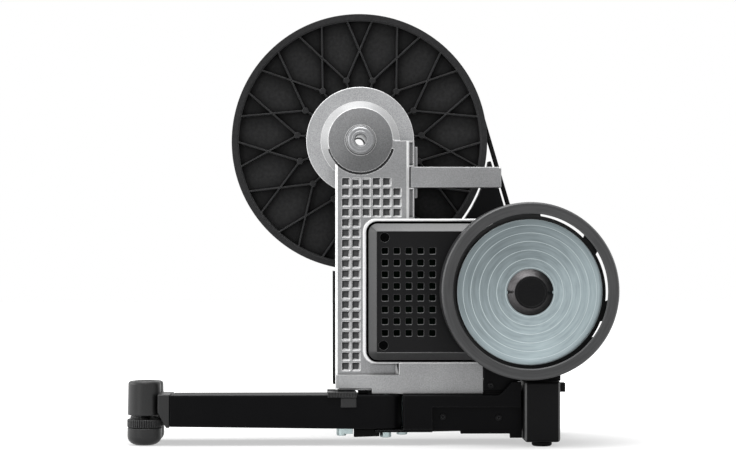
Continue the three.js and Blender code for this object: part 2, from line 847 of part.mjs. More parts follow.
// Carry handle and its bolts
function carryHandle() {
  const tongueLeft = armRight - channelWidth - channelWall + seatGap;
  const tongueBack = castFront + channelDepth - seatGap;
  const bar = plateZ(outline([
    [armRight + seatGap, handleBackY], [armRight + seatGap, tongueBack],
    [tongueLeft, tongueBack], [tongueLeft, handleFrontY + handleEdge],
    [tongueLeft + handleEdge, handleFrontY], [handleRight - handleEdge, handleFrontY],
    [handleRight, handleFrontY + handleEdge], [handleRight, handleBackY - handleEdge],
    [handleRight - handleEdge, handleBackY],
  ]), handleBottom, handleTop);
  const holes = handleBoltHeights.map((z) =>
    rod(handleBoltRadius + seatGap, armRight - cutOverrun, boltTipX + seatGap, "x",
      [0, handleBoltY, z], smallSteps));
  return cutBy(solid(bar), holes);
}

addPiece(trainer, "carry_handle", carryHandle(), sandblasted);
handleBoltHeights.forEach((z, i) => {
  const profile = [
    [0, boltHeadX - handleBoltHeadHeight],
    [handleBoltHead, boltHeadX - handleBoltHeadHeight],
    [handleBoltHead, boltHeadX],
    [handleBoltRadius, boltHeadX],
    [handleBoltRadius, boltTipX],
    [0, boltTipX],
  ];
  const bolt = turned(profile, "x", [0, handleBoltY, z], smallSteps);
  addPiece(trainer, `handle_bolt_${i + 1}`, bolt, turnedSteel);
});

// Brake cover with square vents and two sunk screws
const ventPitchX = 13.1;
const ventPitchZ = 12.93;
const ventColumns = 5;
const ventRows = 8;
const ventLeft = 26.6;
const ventHeadGap = 30.2;
const ventMouth = 7.4;
const ventThroat = 6.2;
const highScrewX = 26.4;
const highScrewGap = 15.4;
const lowScrewX = 25;
const lowScrewGap = 16.6;
const coverRecessRadius = 5.2;
const coverRecessDepth = 4;
const coverRecessWall = 2;
const coverScrewHead = 4.2;
const coverScrewHeadHeight = 2.4;
const coverScrewShank = 1.8;
const coverScrewLength = 9;

const ventTop = coverTop - ventHeadGap;
const coverScrewPlaces = [
  [highScrewX, 0, coverTop - highScrewGap], [lowScrewX, 0, coverBottom + lowScrewGap],
];
const coverBackY = castFront - trayRise - seatGap;
const coverRiseY = coverBackY - coverRise;
const coverFrontY = coverRiseY - coverBevel;

function vent(x, z) {
  const square = (half) => outline([
    [x - half, z - half], [x + half, z - half], [x + half, z + half], [x - half, z + half],
  ]);
  return lofted([
    { points: square(ventMouth / 2), y: coverFrontY - joinOverlap },
    { points: square(ventThroat / 2), y: coverFrontY + coverFace + joinOverlap },
  ]);
}

const coverTubeEndY = coverBackY;
const coverScrewHeadY = coverFrontY + coverRecessDepth - coverScrewHeadHeight;

function brakeCover() {
  const outer = lofted([
    { points: coverOutline(0), y: coverBackY },
    { points: coverOutline(0), y: coverRiseY },
    { points: coverOutline(coverBevelInset), y: coverFrontY },
  ]);
  const inner = lofted([
    { points: coverOutline(coverWall), y: coverBackY + cutOverrun },
    { points: coverOutline(coverWall), y: coverRiseY },
    { points: coverOutline(coverBevelInset + coverWall / 2), y: coverFrontY + coverFace },
  ]);
  let body = cutBy(solid(outer), [inner]);
  const cups = coverScrewPlaces.map((at) =>
    rod(coverRecessRadius + coverRecessWall, coverFrontY + joinOverlap, coverTubeEndY,
      "y", at, smallSteps));
  body = body.add(joined(cups)).intersect(solid(outer));
  const cuts = [rod(pinionFlangeRadius, coverFrontY - cutOverrun, coverBackY, "y", flywheelAt,
    roundSteps)];
  for (let row = 0; row < ventRows; row++) {
    for (let column = 0; column < ventColumns; column++) {
      cuts.push(vent(ventLeft + column * ventPitchX, ventTop - row * ventPitchZ));
    }
  }
  for (const at of coverScrewPlaces) {
    cuts.push(rod(coverRecessRadius, coverFrontY - cutOverrun, coverFrontY + coverRecessDepth,
      "y", at, smallSteps));
    cuts.push(rod(coverScrewShank + seatGap, coverFrontY, coverBackY + cutOverrun,
      "y", at, smallSteps));
  }
  return cutBy(body, cuts);
}

addPiece(trainer, "brake_cover", brakeCover(), blackPlastic);
coverScrewPlaces.forEach(([x, , z], i) => {
  const at = [x, coverScrewHeadY - seatGap, z];
  const screw = socketScrew(at, coverScrewHead, coverScrewHeadHeight, coverScrewShank,
    coverScrewLength);
  addPiece(trainer, `cover_screw_${i + 1}`, screw, blackPaint);
});

// Brake coil, control board and the bearings of the flywheel shaft
const coilInner = 24;
const coilOuter = 62;
const coilFrontY = -50;
const boardBackY = postTopY - seatGap;
const nearBearingY = bossFront + seatGap;
const farBearingY = castBack - seatGap - shaftBearingWidth;

addPiece(
  flywheelGroup,
  "brake_coil",
  ring(coilInner, coilOuter, coilFrontY, bossBackY - seatGap, "y", [0, 0, 0], hiddenSteps),
  copperWire,
);
addPiece(
  trainer,
  "control_board",
  box(boardLeft, boardRight, boardBackY - boardThickness, boardBackY, boardBottom, boardTop),
  boardGreen,
);
const shaftBearings = [["shaft_bearing_near", nearBearingY], ["shaft_bearing_far", farBearingY]];
for (const [name, start] of shaftBearings) {
  const bearing = ring(shaftRadius + seatGap, shaftBearingRadius, start, start + shaftBearingWidth,
    "y", [0, 0, 0], hiddenSteps);
  addPiece(flywheelGroup, name, bearing, turnedSteel);
}

// Ring guard round the flywheel, its back wall slotted
const guardWall = 2.5;
const guardFrontY = -113;
const guardEdge = 1.2;
const guardBackWall = 3;
const guardHole = 30;
const guardSlots = 7;
const guardSlotWidth = 36 * degree;
const guardShortSlotWidth = 13 * degree;
const guardFirstSlotEnd = 29.6 * degree;
const guardSlotInset = 7.7;
const guardSlotHeight = 3.6;
const guardSlotLean = -60 * degree;
const guardSlotOuterShift = 1.2;
const guardSlotInnerShift = 3.1;
const slotSteps = 5;

const guardBackY = coverFrontY - seatGap;
const guardFloorY = guardBackY - guardBackWall;
const guardSlotOuter = guardRadius - guardSlotInset;
const guardSlotInner = guardSlotOuter - guardSlotHeight;

function flywheelGuard() {
  const profile = [
    [guardHole, guardFloorY],
    [guardRadius - guardWall, guardFloorY],
    [guardRadius - guardWall, guardFrontY + guardWall],
    [guardLipRadius, guardFrontY + guardWall],
    [guardLipRadius, guardFrontY + guardEdge],
    [guardLipRadius + guardEdge, guardFrontY],
    [guardRadius - guardEdge, guardFrontY],
    [guardRadius, guardFrontY + guardEdge],
    [guardRadius, guardBackY],
    [guardHole, guardBackY],
  ];
  const body = solid(turned(profile, "y", [guardShiftX, 0, guardShiftZ], ringSteps));
  const cuts = [];
  // The slots' two edges lie on circles set apart, so the slots are narrower at the lower right,
  // where the last one is short as well
  const outerX = guardShiftX + guardSlotOuterShift * Math.cos(guardSlotLean);
  const outerZ = guardShiftZ + guardSlotOuterShift * Math.sin(guardSlotLean);
  const innerX = guardShiftX + guardSlotInnerShift * Math.cos(guardSlotLean);
  const innerZ = guardShiftZ + guardSlotInnerShift * Math.sin(guardSlotLean);
  for (let i = 0; i < guardSlots; i++) {
    const end = guardFirstSlotEnd + (i * 2 * Math.PI) / guardSlots;
    const start = end - (i === guardSlots - 1 ? guardShortSlotWidth : guardSlotWidth);
    const points = [
      ...arcPoints(outerX, outerZ, guardSlotOuter, start, end, slotSteps),
      ...arcPoints(innerX, innerZ, guardSlotInner, end, start, slotSteps),
    ];
    cuts.push(plateY(points, guardFloorY - cutOverrun, guardBackY + cutOverrun));
  }
  return cutBy(body, cuts);
}

addPiece(flywheelGroup, "flywheel_guard", flywheelGuard(), satinGrey);

// Belt guard: a wedge between the pulley and the rear strand of the belt
const caseEndRadius = 75.7;
const wedgePulleyGap = 3.4;
const wedgeBeltGap = 3.7;
const wedgeTipSetback = 6.2;
const wedgeNearY = -12;
const wedgeFarY = 8;
const wedgeFootLength = 53.5;
const wedgeFootHeight = 4;
const wedgeSteps = 60;

const strandAngle = centreAngle + wrapAngle;
const wedgeArcRadius = pulleyFlangeRadius + wedgePulleyGap;
const wedgeStrandRadius = pulleyTreadRadius + seatGap - wedgeBeltGap;
const wedgeFootBottom = flywheelHeight + caseEndRadius + seatGap;
const wedgeTipAlong = Math.sqrt(wedgeArcRadius ** 2 - wedgeStrandRadius ** 2) + wedgeTipSetback;
const wedgeTipHeight = hubHeight + wedgeStrandRadius * Math.sin(strandAngle)
  - wedgeTipAlong * Math.cos(strandAngle);

function strandPoint(z) {
  const start = polar(wedgeStrandRadius, strandAngle);
  const drop = start.y + hubHeight - z;
  return new THREE.Vector2(start.x + drop * Math.tan(strandAngle), z);
}

function beltGuard() {
  const right = strandPoint(wedgeFootBottom).x;
  const left = right - wedgeFootLength;
  const points = [
    new THREE.Vector2(left, wedgeTipHeight),
    strandPoint(wedgeTipHeight),
    strandPoint(wedgeFootBottom),
    new THREE.Vector2(left, wedgeFootBottom),
  ];
  const blade = plateY(points, wedgeNearY, wedgeFarY);
  const foot = box(left + joinOverlap, right - joinOverlap, castBack + seatGap,
    wedgeNearY + joinOverlap, wedgeFootBottom, wedgeFootBottom + wedgeFootHeight);
  const pulleySpace = rod(wedgeArcRadius, castBack - cutOverrun, wedgeFarY + cutOverrun, "y", hubAt,
    wedgeSteps);
  return cutBy(joined([blade, foot]), [pulleySpace]);
}

addPiece(trainer, "belt_guard", beltGuard(), blackPlastic);

// Drive-side cover behind the casting
const caseLeft = -30.3;
const caseBottom = 64.6;
const caseWall = 2.5;
const caseFarY = 18;
const caseArcGap = 4.8;
const caseBossRadius = 5;
const caseScrewHead = 4;
const caseScrewHeadHeight = 2.5;
const caseScrewShank = 2;
const caseScrewReach = 8;
const caseLowScrew = [-14, 84];
const caseHighScrewX = 31;
const caseHighScrewZ = 43;
const caseFootRight = 128;
const beltSlotMargin = 2;
const beltSlotSide = 6;
const caseArcSteps = 96;

const caseNearY = castBack + seatGap;
const caseScrewPlaces = [
  caseLowScrew, [flywheelX + caseHighScrewX, flywheelHeight + caseHighScrewZ],
];

// The cover's outline without the round space that the pulley turns in
function caseOutline(inset) {
  const left = caseLeft + inset;
  return [
    new THREE.Vector2(left, caseBottom + inset),
    new THREE.Vector2(caseFootRight, caseBottom + inset),
    ...arcPoints(flywheelX, flywheelHeight, caseEndRadius - inset, -Math.PI / 2, Math.PI / 2,
      endSteps),
    new THREE.Vector2(left, flywheelHeight + caseEndRadius - inset),
  ];
}

function caseSolid(inset, pulleySpaceRadius, near, far) {
  const space = rod(pulleySpaceRadius, near - cutOverrun, far + cutOverrun, "y", hubAt, caseArcSteps);
  return solid(plateY(caseOutline(inset), near, far)).subtract(solid(space));
}

function driveCover() {
  const outer = caseSolid(0, pulleyFlangeRadius + caseArcGap, caseNearY, caseFarY);
  const inner = caseSolid(caseWall, pulleyFlangeRadius - caseArcGap, caseNearY - cutOverrun,
    caseFarY - caseWall);
  const slotNear = pulleyNearY - beltSlotMargin;
  const slotFar = pulleyFarY + beltSlotMargin;
  const slotOuter = plateY(beltOutline(seatGap + beltThickness + beltSlotSide), slotNear, slotFar);
  const slotInner = plateY(beltOutline(-beltSlotSide), slotNear - cutOverrun, slotFar + cutOverrun);
  const beltSlot = cutBy(solid(slotOuter), [slotInner]);
  const bosses = caseScrewPlaces.map(([x, z]) =>
    rod(caseBossRadius, caseNearY, caseFarY - caseWall + joinOverlap, "y", [x, 0, z], smallSteps));
  const holes = caseScrewPlaces.map(([x, z]) =>
    rod(caseScrewShank + seatGap, caseNearY - cutOverrun, caseFarY + cutOverrun, "y", [x, 0, z],
      smallSteps));
  return cutBy(outer.subtract(inner).subtract(beltSlot).add(joined(bosses)), holes);
}

addPiece(trainer, "drive_cover", driveCover(), blackPlastic);
caseScrewPlaces.forEach(([x, z], i) => {
  const headY = caseFarY + seatGap + caseScrewHeadHeight;
  const length = headY - caseScrewHeadHeight - (caseNearY + caseScrewReach);
  const screw = socketScrew([0, 0, 0], caseScrewHead, caseScrewHeadHeight, caseScrewShank, length);
  screw.rotateX(Math.PI).translate(x, headY, z);
  addPiece(trainer, `drive_cover_screw_${i + 1}`, screw, blackPaint);
});

// Folded base frame
const frameLeft = 46.9;
const frameRight = 179;
const frameFrontY = -71;
const frameInnerY = -69;
const frameFarY = 8;
const frameSheet = 3;
const frameTop = 56;
const frameSeat = castBottom - seatGap;
const tongueLeftX = 8;
const tongueBottom = legTop + seatGap;
const tongueTipLeft = -2.5;
const tongueTipNearY = -52.2;
const tongueTipFarY = -12;
const lowerPlateTop = 15.2;
const lowerPlateBottom = 11.9;
const lowerPlateLeft = 16;
const nearPlateTop = 17.6;
const nearPlateBottom = 14.9;
const plateStepNearY = -31.5;
const plateStepFarY = -29.7;
const wingRight = 79.1;
const wingBottom = 18.2;
const bandBottom = 42.5;
const riserShare = 0.3776;
const riserLeft = 154;
const riserShoulder = 167.5;
const faceRight = 177.5;
const recessY = -62;
const recessBottom = 15.5;
const recessStepX = 110.6;
const recessLowBottom = 12.5;
const tabLeft = 165.4;
const tabBottom = 7.7;

const riserTop = frameTop + (coverBottom - frameTop) * riserShare;

function baseFrame() {
  const face = plateY(outline([
    [frameLeft, wingBottom], [wingRight, wingBottom], [wingRight, bandBottom],
    [faceRight, bandBottom], [faceRight, riserTop], [riserShoulder, riserTop],
    [riserLeft, frameTop], [frameLeft, frameTop],
  ]), frameFrontY, frameFrontY + frameSheet);
  const recess = plateY(outline([
    [wingRight - frameSheet, nearPlateBottom], [recessStepX, recessBottom],
    [recessStepX, recessLowBottom], [tabLeft, recessLowBottom], [tabLeft, tabBottom],
    [frameRight, tabBottom], [frameRight, bandBottom + frameSheet],
    [wingRight - frameSheet, bandBottom + frameSheet],
  ]), recessY, recessY + frameSheet);
  const wedgeWeb = box(frameLeft, wingRight, frameInnerY, frameInnerY + frameSheet,
    nearPlateBottom, frameTop);
  const pieces = [
    face,
    recess,
    wedgeWeb,
    box(frameLeft, frameRight, frameInnerY, frameFarY, frameTop - frameSheet, frameTop),
    box(frameLeft, frameRight, seatFrontY, frameFarY, frameTop - joinOverlap, frameSeat),
    box(tongueLeftX, frameLeft + joinOverlap, seatFrontY, frameFarY, tongueBottom, frameSeat),
    box(tongueTipLeft, tongueLeftX + joinOverlap, tongueTipNearY, tongueTipFarY, tongueBottom,
      frameSeat),
    box(lowerPlateLeft, wingRight, frameInnerY, plateStepFarY, nearPlateBottom, nearPlateTop),
    box(lowerPlateLeft, wingRight, plateStepNearY, plateStepFarY, lowerPlateBottom, nearPlateTop),
    box(lowerPlateLeft, wingRight, plateStepNearY, frameFarY, lowerPlateBottom, lowerPlateTop),
    box(wingRight - frameSheet, wingRight, frameFrontY, recessY + frameSheet, wingBottom,
      bandBottom + frameSheet),
    box(wingRight - frameSheet, faceRight, frameFrontY, recessY + frameSheet, bandBottom,
      bandBottom + frameSheet),
    box(frameLeft, frameRight, frameFarY - frameSheet, frameFarY, lowerPlateBottom, frameTop),
    box(frameRight - frameSheet, frameRight, recessY, frameFarY, recessBottom, frameTop),
    box(faceRight - frameSheet, faceRight, frameFrontY, seatFrontY, frameTop - frameSheet, riserTop),
  ];
  const cuts = [
    rod(pivotBoltRadius + seatGap, lowerPlateBottom - cutOverrun, frameSeat + cutOverrun, "z",
      [pivotX, nearLegY, 0], smallSteps),
    rod(pivotBoltRadius + seatGap, lowerPlateBottom - cutOverrun, frameSeat + cutOverrun, "z",
      [pivotX, farLegY, 0], smallSteps),
    rod(frameBoltRadius + seatGap, lowerPlateBottom - cutOverrun, frameSeat + cutOverrun, "z",
      frameBoltAt, smallSteps),
  ];
  for (const [x, , z] of panelScrewPlaces.slice(1)) {
    cuts.push(rod(panelScrewShank + seatGap, recessY - cutOverrun, recessY + frameSheet + cutOverrun,
      "y", [x, 0, z], smallSteps));
  }
  return cutBy(joined(pieces), cuts);
}

// Vertical pivot bolts, their nuts fixed on the lower end
const pivotBoltRadius = 5;
const pivotNutRadius = 6.2;
const pivotNutHeight = 3.4;
const nearNutRadius = 5.6;
const nearNutHeight = 6.7;
const pivotHeadRadius = 9;
const pivotHeadHeight = 3.4;
const frameNutRadius = 5.6;
const frameNutHeight = 2.6;

// A bolt standing in the lower plate with its nut below, and on top the head given, if any.
function standingBolt(at, radius, plateBottom, nutRadius, nutHeight, top, head) {
  const nutTop = plateBottom - seatGap;
  const profile = [
    [0, nutTop - nutHeight],
    [nutRadius, nutTop - nutHeight],
    [nutRadius, nutTop],
    [radius, nutTop],
    [radius, top],
    ...head,
  ];
  profile.push([0, profile.at(-1)[1]]);
  return turned(profile, "z", at, smallSteps);
}

addPiece(trainer, "base_frame", baseFrame(), blackPaint);

// The near bolt ends flush under the casting, which hides it; the far one has a head
const pivotHeadBottom = frameSeat + seatGap;
const pivotHead = [
  [pivotHeadRadius, pivotHeadBottom],
  [pivotHeadRadius, pivotHeadBottom + pivotHeadHeight],
];
const standingBolts = [
  ["pivot_bolt_near", standingBolt([pivotX, nearLegY, 0], pivotBoltRadius, nearPlateBottom,
    nearNutRadius, nearNutHeight, frameSeat - seatGap, [])],
  ["pivot_bolt_far", standingBolt([pivotX, farLegY, 0], pivotBoltRadius, lowerPlateBottom,
    pivotNutRadius, pivotNutHeight, pivotHeadBottom, pivotHead)],
  ["frame_bolt", standingBolt(frameBoltAt, frameBoltRadius, lowerPlateBottom, frameNutRadius,
    frameNutHeight, castBottom + frameBoltGrip - seatGap, [])],
];
for (const [name, bolt] of standingBolts) addPiece(trainer, name, bolt, zincPlated);

// Rubber wedge under the near leg
const rubberLeft = -7.3;
const rubberRight = 21;
const rubberTop = 17.3;
const rubberLow = 8.6;
const rubberThin = 9.5;
const rubberHalfWidth = 7.5;

addPiece(
  trainer,
  "rubber_wedge",
  plateY(outline([
    [rubberLeft, rubberTop],
    [rubberLeft, rubberLow],
    [rubberRight, rubberThin],
    [rubberRight, nearPlateBottom - seatGap],
    [lowerPlateLeft - seatGap, nearPlateBottom - seatGap],
    [lowerPlateLeft - seatGap, rubberTop],
  ]), nearLegY - rubberHalfWidth, nearLegY + rubberHalfWidth),
  darkRubber,
);

// Side panel under the brake tray, with its screws
const panelRight = 174;
const panelShare = 0.9;
const panelFlange = 30;

const panelTop = castBottom + (trayBottom - castBottom) * panelShare;

function sidePanel() {
  const left = blockRight + seatGap;
  const bottom = castBottom;
  const face = box(left, panelRight, panelFrontY, panelFrontY + panelThickness, bottom, panelTop);
  const foot = box(left + bracketEarWidth + seatGap, panelRight, panelFrontY,
    panelFrontY + panelFlange, bottom, bottom + panelThickness);
  const [x, , z] = panelScrewPlaces[0];
  const hole = rod(panelScrewShank + seatGap, panelFrontY - cutOverrun,
    panelFrontY + panelThickness + cutOverrun, "y", [x, 0, z], smallSteps);
  return cutBy(joined([face, foot]), [hole]);
}

addPiece(trainer, "side_panel", sidePanel(), blackPlastic);
panelScrewPlaces.forEach(([x, , z], i) => {
  const seatY = (i === 0 ? panelFrontY : recessY) - seatGap - panelScrewHeadHeight;
  const screw = socketScrew([x, seatY, z], panelScrewHead, panelScrewHeadHeight, panelScrewShank,
    panelScrewLength);
  addPiece(trainer, `panel_screw_${i + 1}`, screw, turnedSteel);
});

// Rear cross beam, end blocks, pads and power inlet
const blockFrontX = 179.6;
const blockHalfSpan = 85;
const blockDepth = 53;
const blockFoot = 5;
const blockGuardGap = 3.25;
const blockRound = 4;
const capFrontX = 181;
const capOverhang = 2.3;
const capNearSpan = 34;
const capFarSpan = 66;
const capRise = 8.2;
const beamBottom = 20;
const beamDrop = 11.3;
const beamInset = 2;
const beamWall = 3;
const plugLength = 12;
const padX = 200;
const padY = 70;
const padRadius = 11.2;
const padEdge = 1.5;
const studRadius = 3;
const studHeight = 8;
const inletHalfWidth = 7;
const inletHeadGap = 2.3;
const inletHeight = 9.8;
const inletProud = 6.4;
const inletBarrel = 4.4;
const inletSocket = 3.2;
const inletDepth = 12;
const inletY = -68;
const inletFloor = 2;

const blockHead = flywheelHeight + guardShiftZ - guardRadius - blockGuardGap;
const beamTop = blockHead - beamDrop;
const inletTop = blockHead - inletHeadGap;
const inletBottom = inletTop - inletHeight;
const beamFront = blockFrontX + beamInset;
const beamBack = rearBlockBack - beamInset;
const inletZ = (inletBottom + inletTop) / 2;

function rearBlock(side) {
  const outer = side * blockHalfSpan;
  const inner = side * (blockHalfSpan - blockDepth);
  const low = Math.min(outer, inner);
  const high = Math.max(outer, inner);
  const corners = [
    [rearBlockBack - blockRound, high - blockRound, 0],
    [blockFrontX + blockRound, high - blockRound, Math.PI / 2],
    [blockFrontX + blockRound, low + blockRound, Math.PI],
    [rearBlockBack - blockRound, low + blockRound, 1.5 * Math.PI],
  ];
  const points = corners.flatMap(([x, y, start]) =>
    arcPoints(x, y, blockRound, start, start + Math.PI / 2, cornerSteps));
  const body = plateZ(points, blockFoot, blockHead);
  const gap = beamWall + seatGap;
  const plug = box(beamFront + gap, beamBack - gap, inner + side * joinOverlap,
    inner - side * plugLength, beamBottom + gap, beamTop - gap);
  const raised = box(capFrontX, rearBlockBack + capOverhang, side * capNearSpan,
    side * capFarSpan, blockHead - joinOverlap, blockHead + capRise);
  const cuts = [rod(studRadius + seatGap, blockFoot - cutOverrun, blockFoot + studHeight + seatGap,
    "z", [padX, side * padY, 0], smallSteps)];
  if (side < 0) {
    cuts.push(rod(inletBarrel + seatGap, rearBlockBack - inletDepth - seatGap,
      rearBlockBack + cutOverrun, "x", [0, inletY, inletZ], smallSteps));
  }
  return cutBy(joined([body, plug, raised]), cuts);
}

const beamEndY = blockHalfSpan - blockDepth - seatGap;
const beamOuter = box(beamFront, beamBack, -beamEndY, beamEndY, beamBottom, beamTop);
const beamInner = box(beamFront + beamWall, beamBack - beamWall, -beamEndY - cutOverrun,
  beamEndY + cutOverrun, beamBottom + beamWall, beamTop - beamWall);
addPiece(trainer, "rear_beam", cutBy(solid(beamOuter), [beamInner]), blackPaint);
for (const [name, side] of [["near", -1], ["far", 1]]) {
  addPiece(trainer, `rear_block_${name}`, rearBlock(side), blackPlastic);
  const padTop = blockFoot - seatGap;
  const profile = [
    [0, 0],
    [padRadius - padEdge, 0],
    [padRadius, padEdge],
    [padRadius, padTop],
    [studRadius, padTop],
    [studRadius, blockFoot + studHeight],
    [0, blockFoot + studHeight],
  ];
  addPiece(trainer, `rear_pad_${name}`, turned(profile, "z", [padX, side * padY, 0], roundSteps),
    darkRubber);
}

function powerInlet() {
  const flange = box(rearBlockBack + seatGap, rearBlockBack + inletProud, inletY - inletHalfWidth,
    inletY + inletHalfWidth, inletBottom, inletTop);
  const at = [0, inletY, inletZ];
  const barrel = rod(inletBarrel, rearBlockBack - inletDepth, rearBlockBack + inletProud
    - joinOverlap, "x", at, smallSteps);
  const socket = rod(inletSocket, rearBlockBack - inletDepth + inletFloor,
    rearBlockBack + inletProud + cutOverrun, "x", at, smallSteps);
  return cutBy(joined([flange, barrel]), [socket]);
}

addPiece(trainer, "power_inlet", powerInlet(), blackPlastic);

// Folding legs: tube, foot holder, sprung latch, lock pin, screw foot and knurled wheel
const legLeft = -210.4;
const legBottomRight = 18.2;
const legBottomLeft = 21.3;
const legWall = 2;
const legSolidLeft = 4;
const tailSteps = 10;
const holderLeft = -223.9;
const holderShoulderZ = 37;
const holderToeX = -214.5;
const holderToeZ = 21.2;
const holderCollar = 1;
const holderPlug = 18;
const holderHalfWidth = 19.1;
const cupRadius = 18.7;
const cupTopRadius = 18;
const cupRound = 3;
const cupBottom = 33.5;
const cupTop = 70.9;
const cupBoreTop = 62;
const stemRadius = 5;
const stemTop = 57;
const footFlat = 7;
const footRadius = 19;
const footRoundHeight = 10;
const footShoulder = 19.5;
const footCore = 12;
const footRoundSteps = 3;
const wheelBottom = 19.8;
const wheelTop = 29;
const wheelRadius = 19.4;
const wheelTopEdge = 1.6;
const knurlDepth = 0.7;
const knurls = 24;
const knurlShare = 0.55;
const latchLeft = -36.6;
const latchRight = -4.6;
const latchTop = 59.5;
const latchReach = 16;
const latchLip = 3.6;
const latchLipBottom = 53.8;
const latchGrooves = 10;
const latchGrooveShare = 0.45;
const latchGrooveDepth = 1;
const tabTop = 52.4;
const tabEnd = 42.7;
const tabBack = -4.9;
const tabFront = -22;
const tabSlope = 2;
const tabThickness = 2;
const tabWeb = 1;
const lockPlateRight = -8.6;
const lockPlateHalfWidth = 5;
const lockPlateBottom = 12;
const lockBoltX = -21;
const lockBoltRadius = 5.2;
const lockBoltBottom = 9.9;
const lockShankRadius = 3;
const lockShankHeight = 9;

const legLength = pivotX - legLeft;

function legUnder(x) {
  const share = (x - legLeft) / legLength;
  return legBottomLeft + (legBottomRight - legBottomLeft) * share;
}

function legTube() {
  const tail = arcPoints(pivotX, 0, legHalfWidth, -Math.PI / 2, Math.PI / 2, tailSteps);
  const plan = [...tail, ...outline([[legLeft, legHalfWidth], [legLeft, -legHalfWidth]])];
  const body = solid(plateZ(plan, 0, legTop));
  const reach = pivotX + legHalfWidth + cutOverrun;
  const over = legHalfWidth + cutOverrun;
  const below = plateY(outline([
    [legLeft - cutOverrun, -cutOverrun], [reach, -cutOverrun],
    [reach, legUnder(reach)], [legLeft - cutOverrun, legUnder(legLeft - cutOverrun)],
  ]), -over, over);
  const inside = legHalfWidth - legWall;
  const hollow = plateY(outline([
    [legLeft - cutOverrun, legUnder(legLeft) + legWall],
    [legSolidLeft, legUnder(legSolidLeft) + legWall],
    [legSolidLeft, legTop - legWall],
    [legLeft - cutOverrun, legTop - legWall],
  ]), -inside, inside);
  const bore = rod(pivotBoltRadius + seatGap, 0, legTop + cutOverrun, "z", [pivotX, 0, 0],
    smallSteps);
  const pinHole = rod(lockShankRadius + seatGap, 0, legUnder(lockBoltX) + lockShankHeight + seatGap,
    "z", [lockBoltX, 0, 0], smallSteps);
  return cutBy(body, [below, hollow, bore, pinHole]);
}

function footHolder() {
  const cup = turned([
    [0, cupBottom], [cupRadius, cupBottom], [cupTopRadius, cupTop - cupRound],
    [cupTopRadius - cupRound / 2, cupTop - cupRound / 4], [cupTopRadius - cupRound, cupTop],
    [0, cupTop],
  ], "z", [footX, 0, 0], roundSteps);
  const holderRight = legLeft - seatGap;
  const top = legTop + holderCollar;
  const bottom = holderToeZ - holderCollar;
  const sleeve = plateY(outline([
    [holderLeft, holderShoulderZ], [holderToeX, bottom], [holderRight, bottom],
    [holderRight, top], [holderLeft, top],
  ]), -holderHalfWidth, holderHalfWidth);
  const neck = box(footX, holderLeft + joinOverlap, -cupRadius / 2, cupRadius / 2, holderShoulderZ,
    legTop);
  const gap = legWall + seatGap;
  const inside = legHalfWidth - gap;
  const plug = box(holderRight - joinOverlap, holderRight + holderPlug, -inside, inside,
    legBottomLeft + gap, legTop - gap);
  const bore = rod(stemRadius + seatGap, cupBottom - cutOverrun, cupBoreTop, "z", [footX, 0, 0],
    smallSteps);
  return cutBy(joined([cup, sleeve, neck, plug]), [bore]);
}

function legLatch(out) {
  const face = out * (legHalfWidth + seatGap);
  const outer = face + out * latchLip;
  const inner = face - out * latchReach;
  const padBottom = legTop + seatGap;
  const pad = box(latchLeft, latchRight, outer, inner, padBottom, latchTop);
  const lip = box(latchLeft, latchRight, outer, face, latchLipBottom, latchTop);
  const web = box(tabFront, tabBack, face, face + out * tabWeb, tabEnd, latchLipBottom + joinOverlap);
  const tabOuter = face + out * tabThickness;
  const tab = plateY(outline([
    [tabFront, tabTop], [tabFront + tabSlope, tabEnd], [tabBack - tabSlope, tabEnd],
    [tabBack, tabTop],
  ]), Math.min(face, tabOuter), Math.max(face, tabOuter));
  const pitch = (latchRight - latchLeft) / latchGrooves;
  const grooves = [];
  for (let i = 0; i < latchGrooves; i++) {
    const x = latchLeft + (i + latchGrooveShare) * pitch;
    grooves.push(box(x, x + latchGrooveShare * pitch, outer - out * latchGrooveDepth,
      outer + out * cutOverrun, latchLipBottom - cutOverrun, latchTop - latchGrooveDepth));
  }
  return cutBy(joined([pad, lip, web, tab]), grooves);
}

function lockPin() {
  const under = legUnder(lockBoltX) - seatGap;
  const plate = box(lockBoltX, lockPlateRight, -lockPlateHalfWidth, lockPlateHalfWidth,
    lockPlateBottom, under - seatGap);
  const bolt = turned([
    [0, lockBoltBottom], [lockBoltRadius, lockBoltBottom], [lockBoltRadius, under - seatGap],
    [lockShankRadius, under - seatGap], [lockShankRadius, under + lockShankHeight],
    [0, under + lockShankHeight],
  ], "z", [lockBoltX, 0, 0], smallSteps);
  return joined([plate, bolt]);
}

function screwFoot() {
  const profile = [[0, 0], [footFlat, 0]];
  for (let i = 1; i <= footRoundSteps; i++) {
    const angle = (i / footRoundSteps) * (Math.PI / 2);
    const out = (footRadius - footFlat) * Math.sin(angle);
    profile.push([footFlat + out, footRoundHeight * (1 - Math.cos(angle))]);
  }
  profile.push(
    [footRadius, footShoulder], [footCore, footShoulder], [footCore, wheelTop],
    [stemRadius, wheelTop], [stemRadius, stemTop], [0, stemTop],
  );
  return turned(profile, "z", [footX, 0, 0], roundSteps);
}

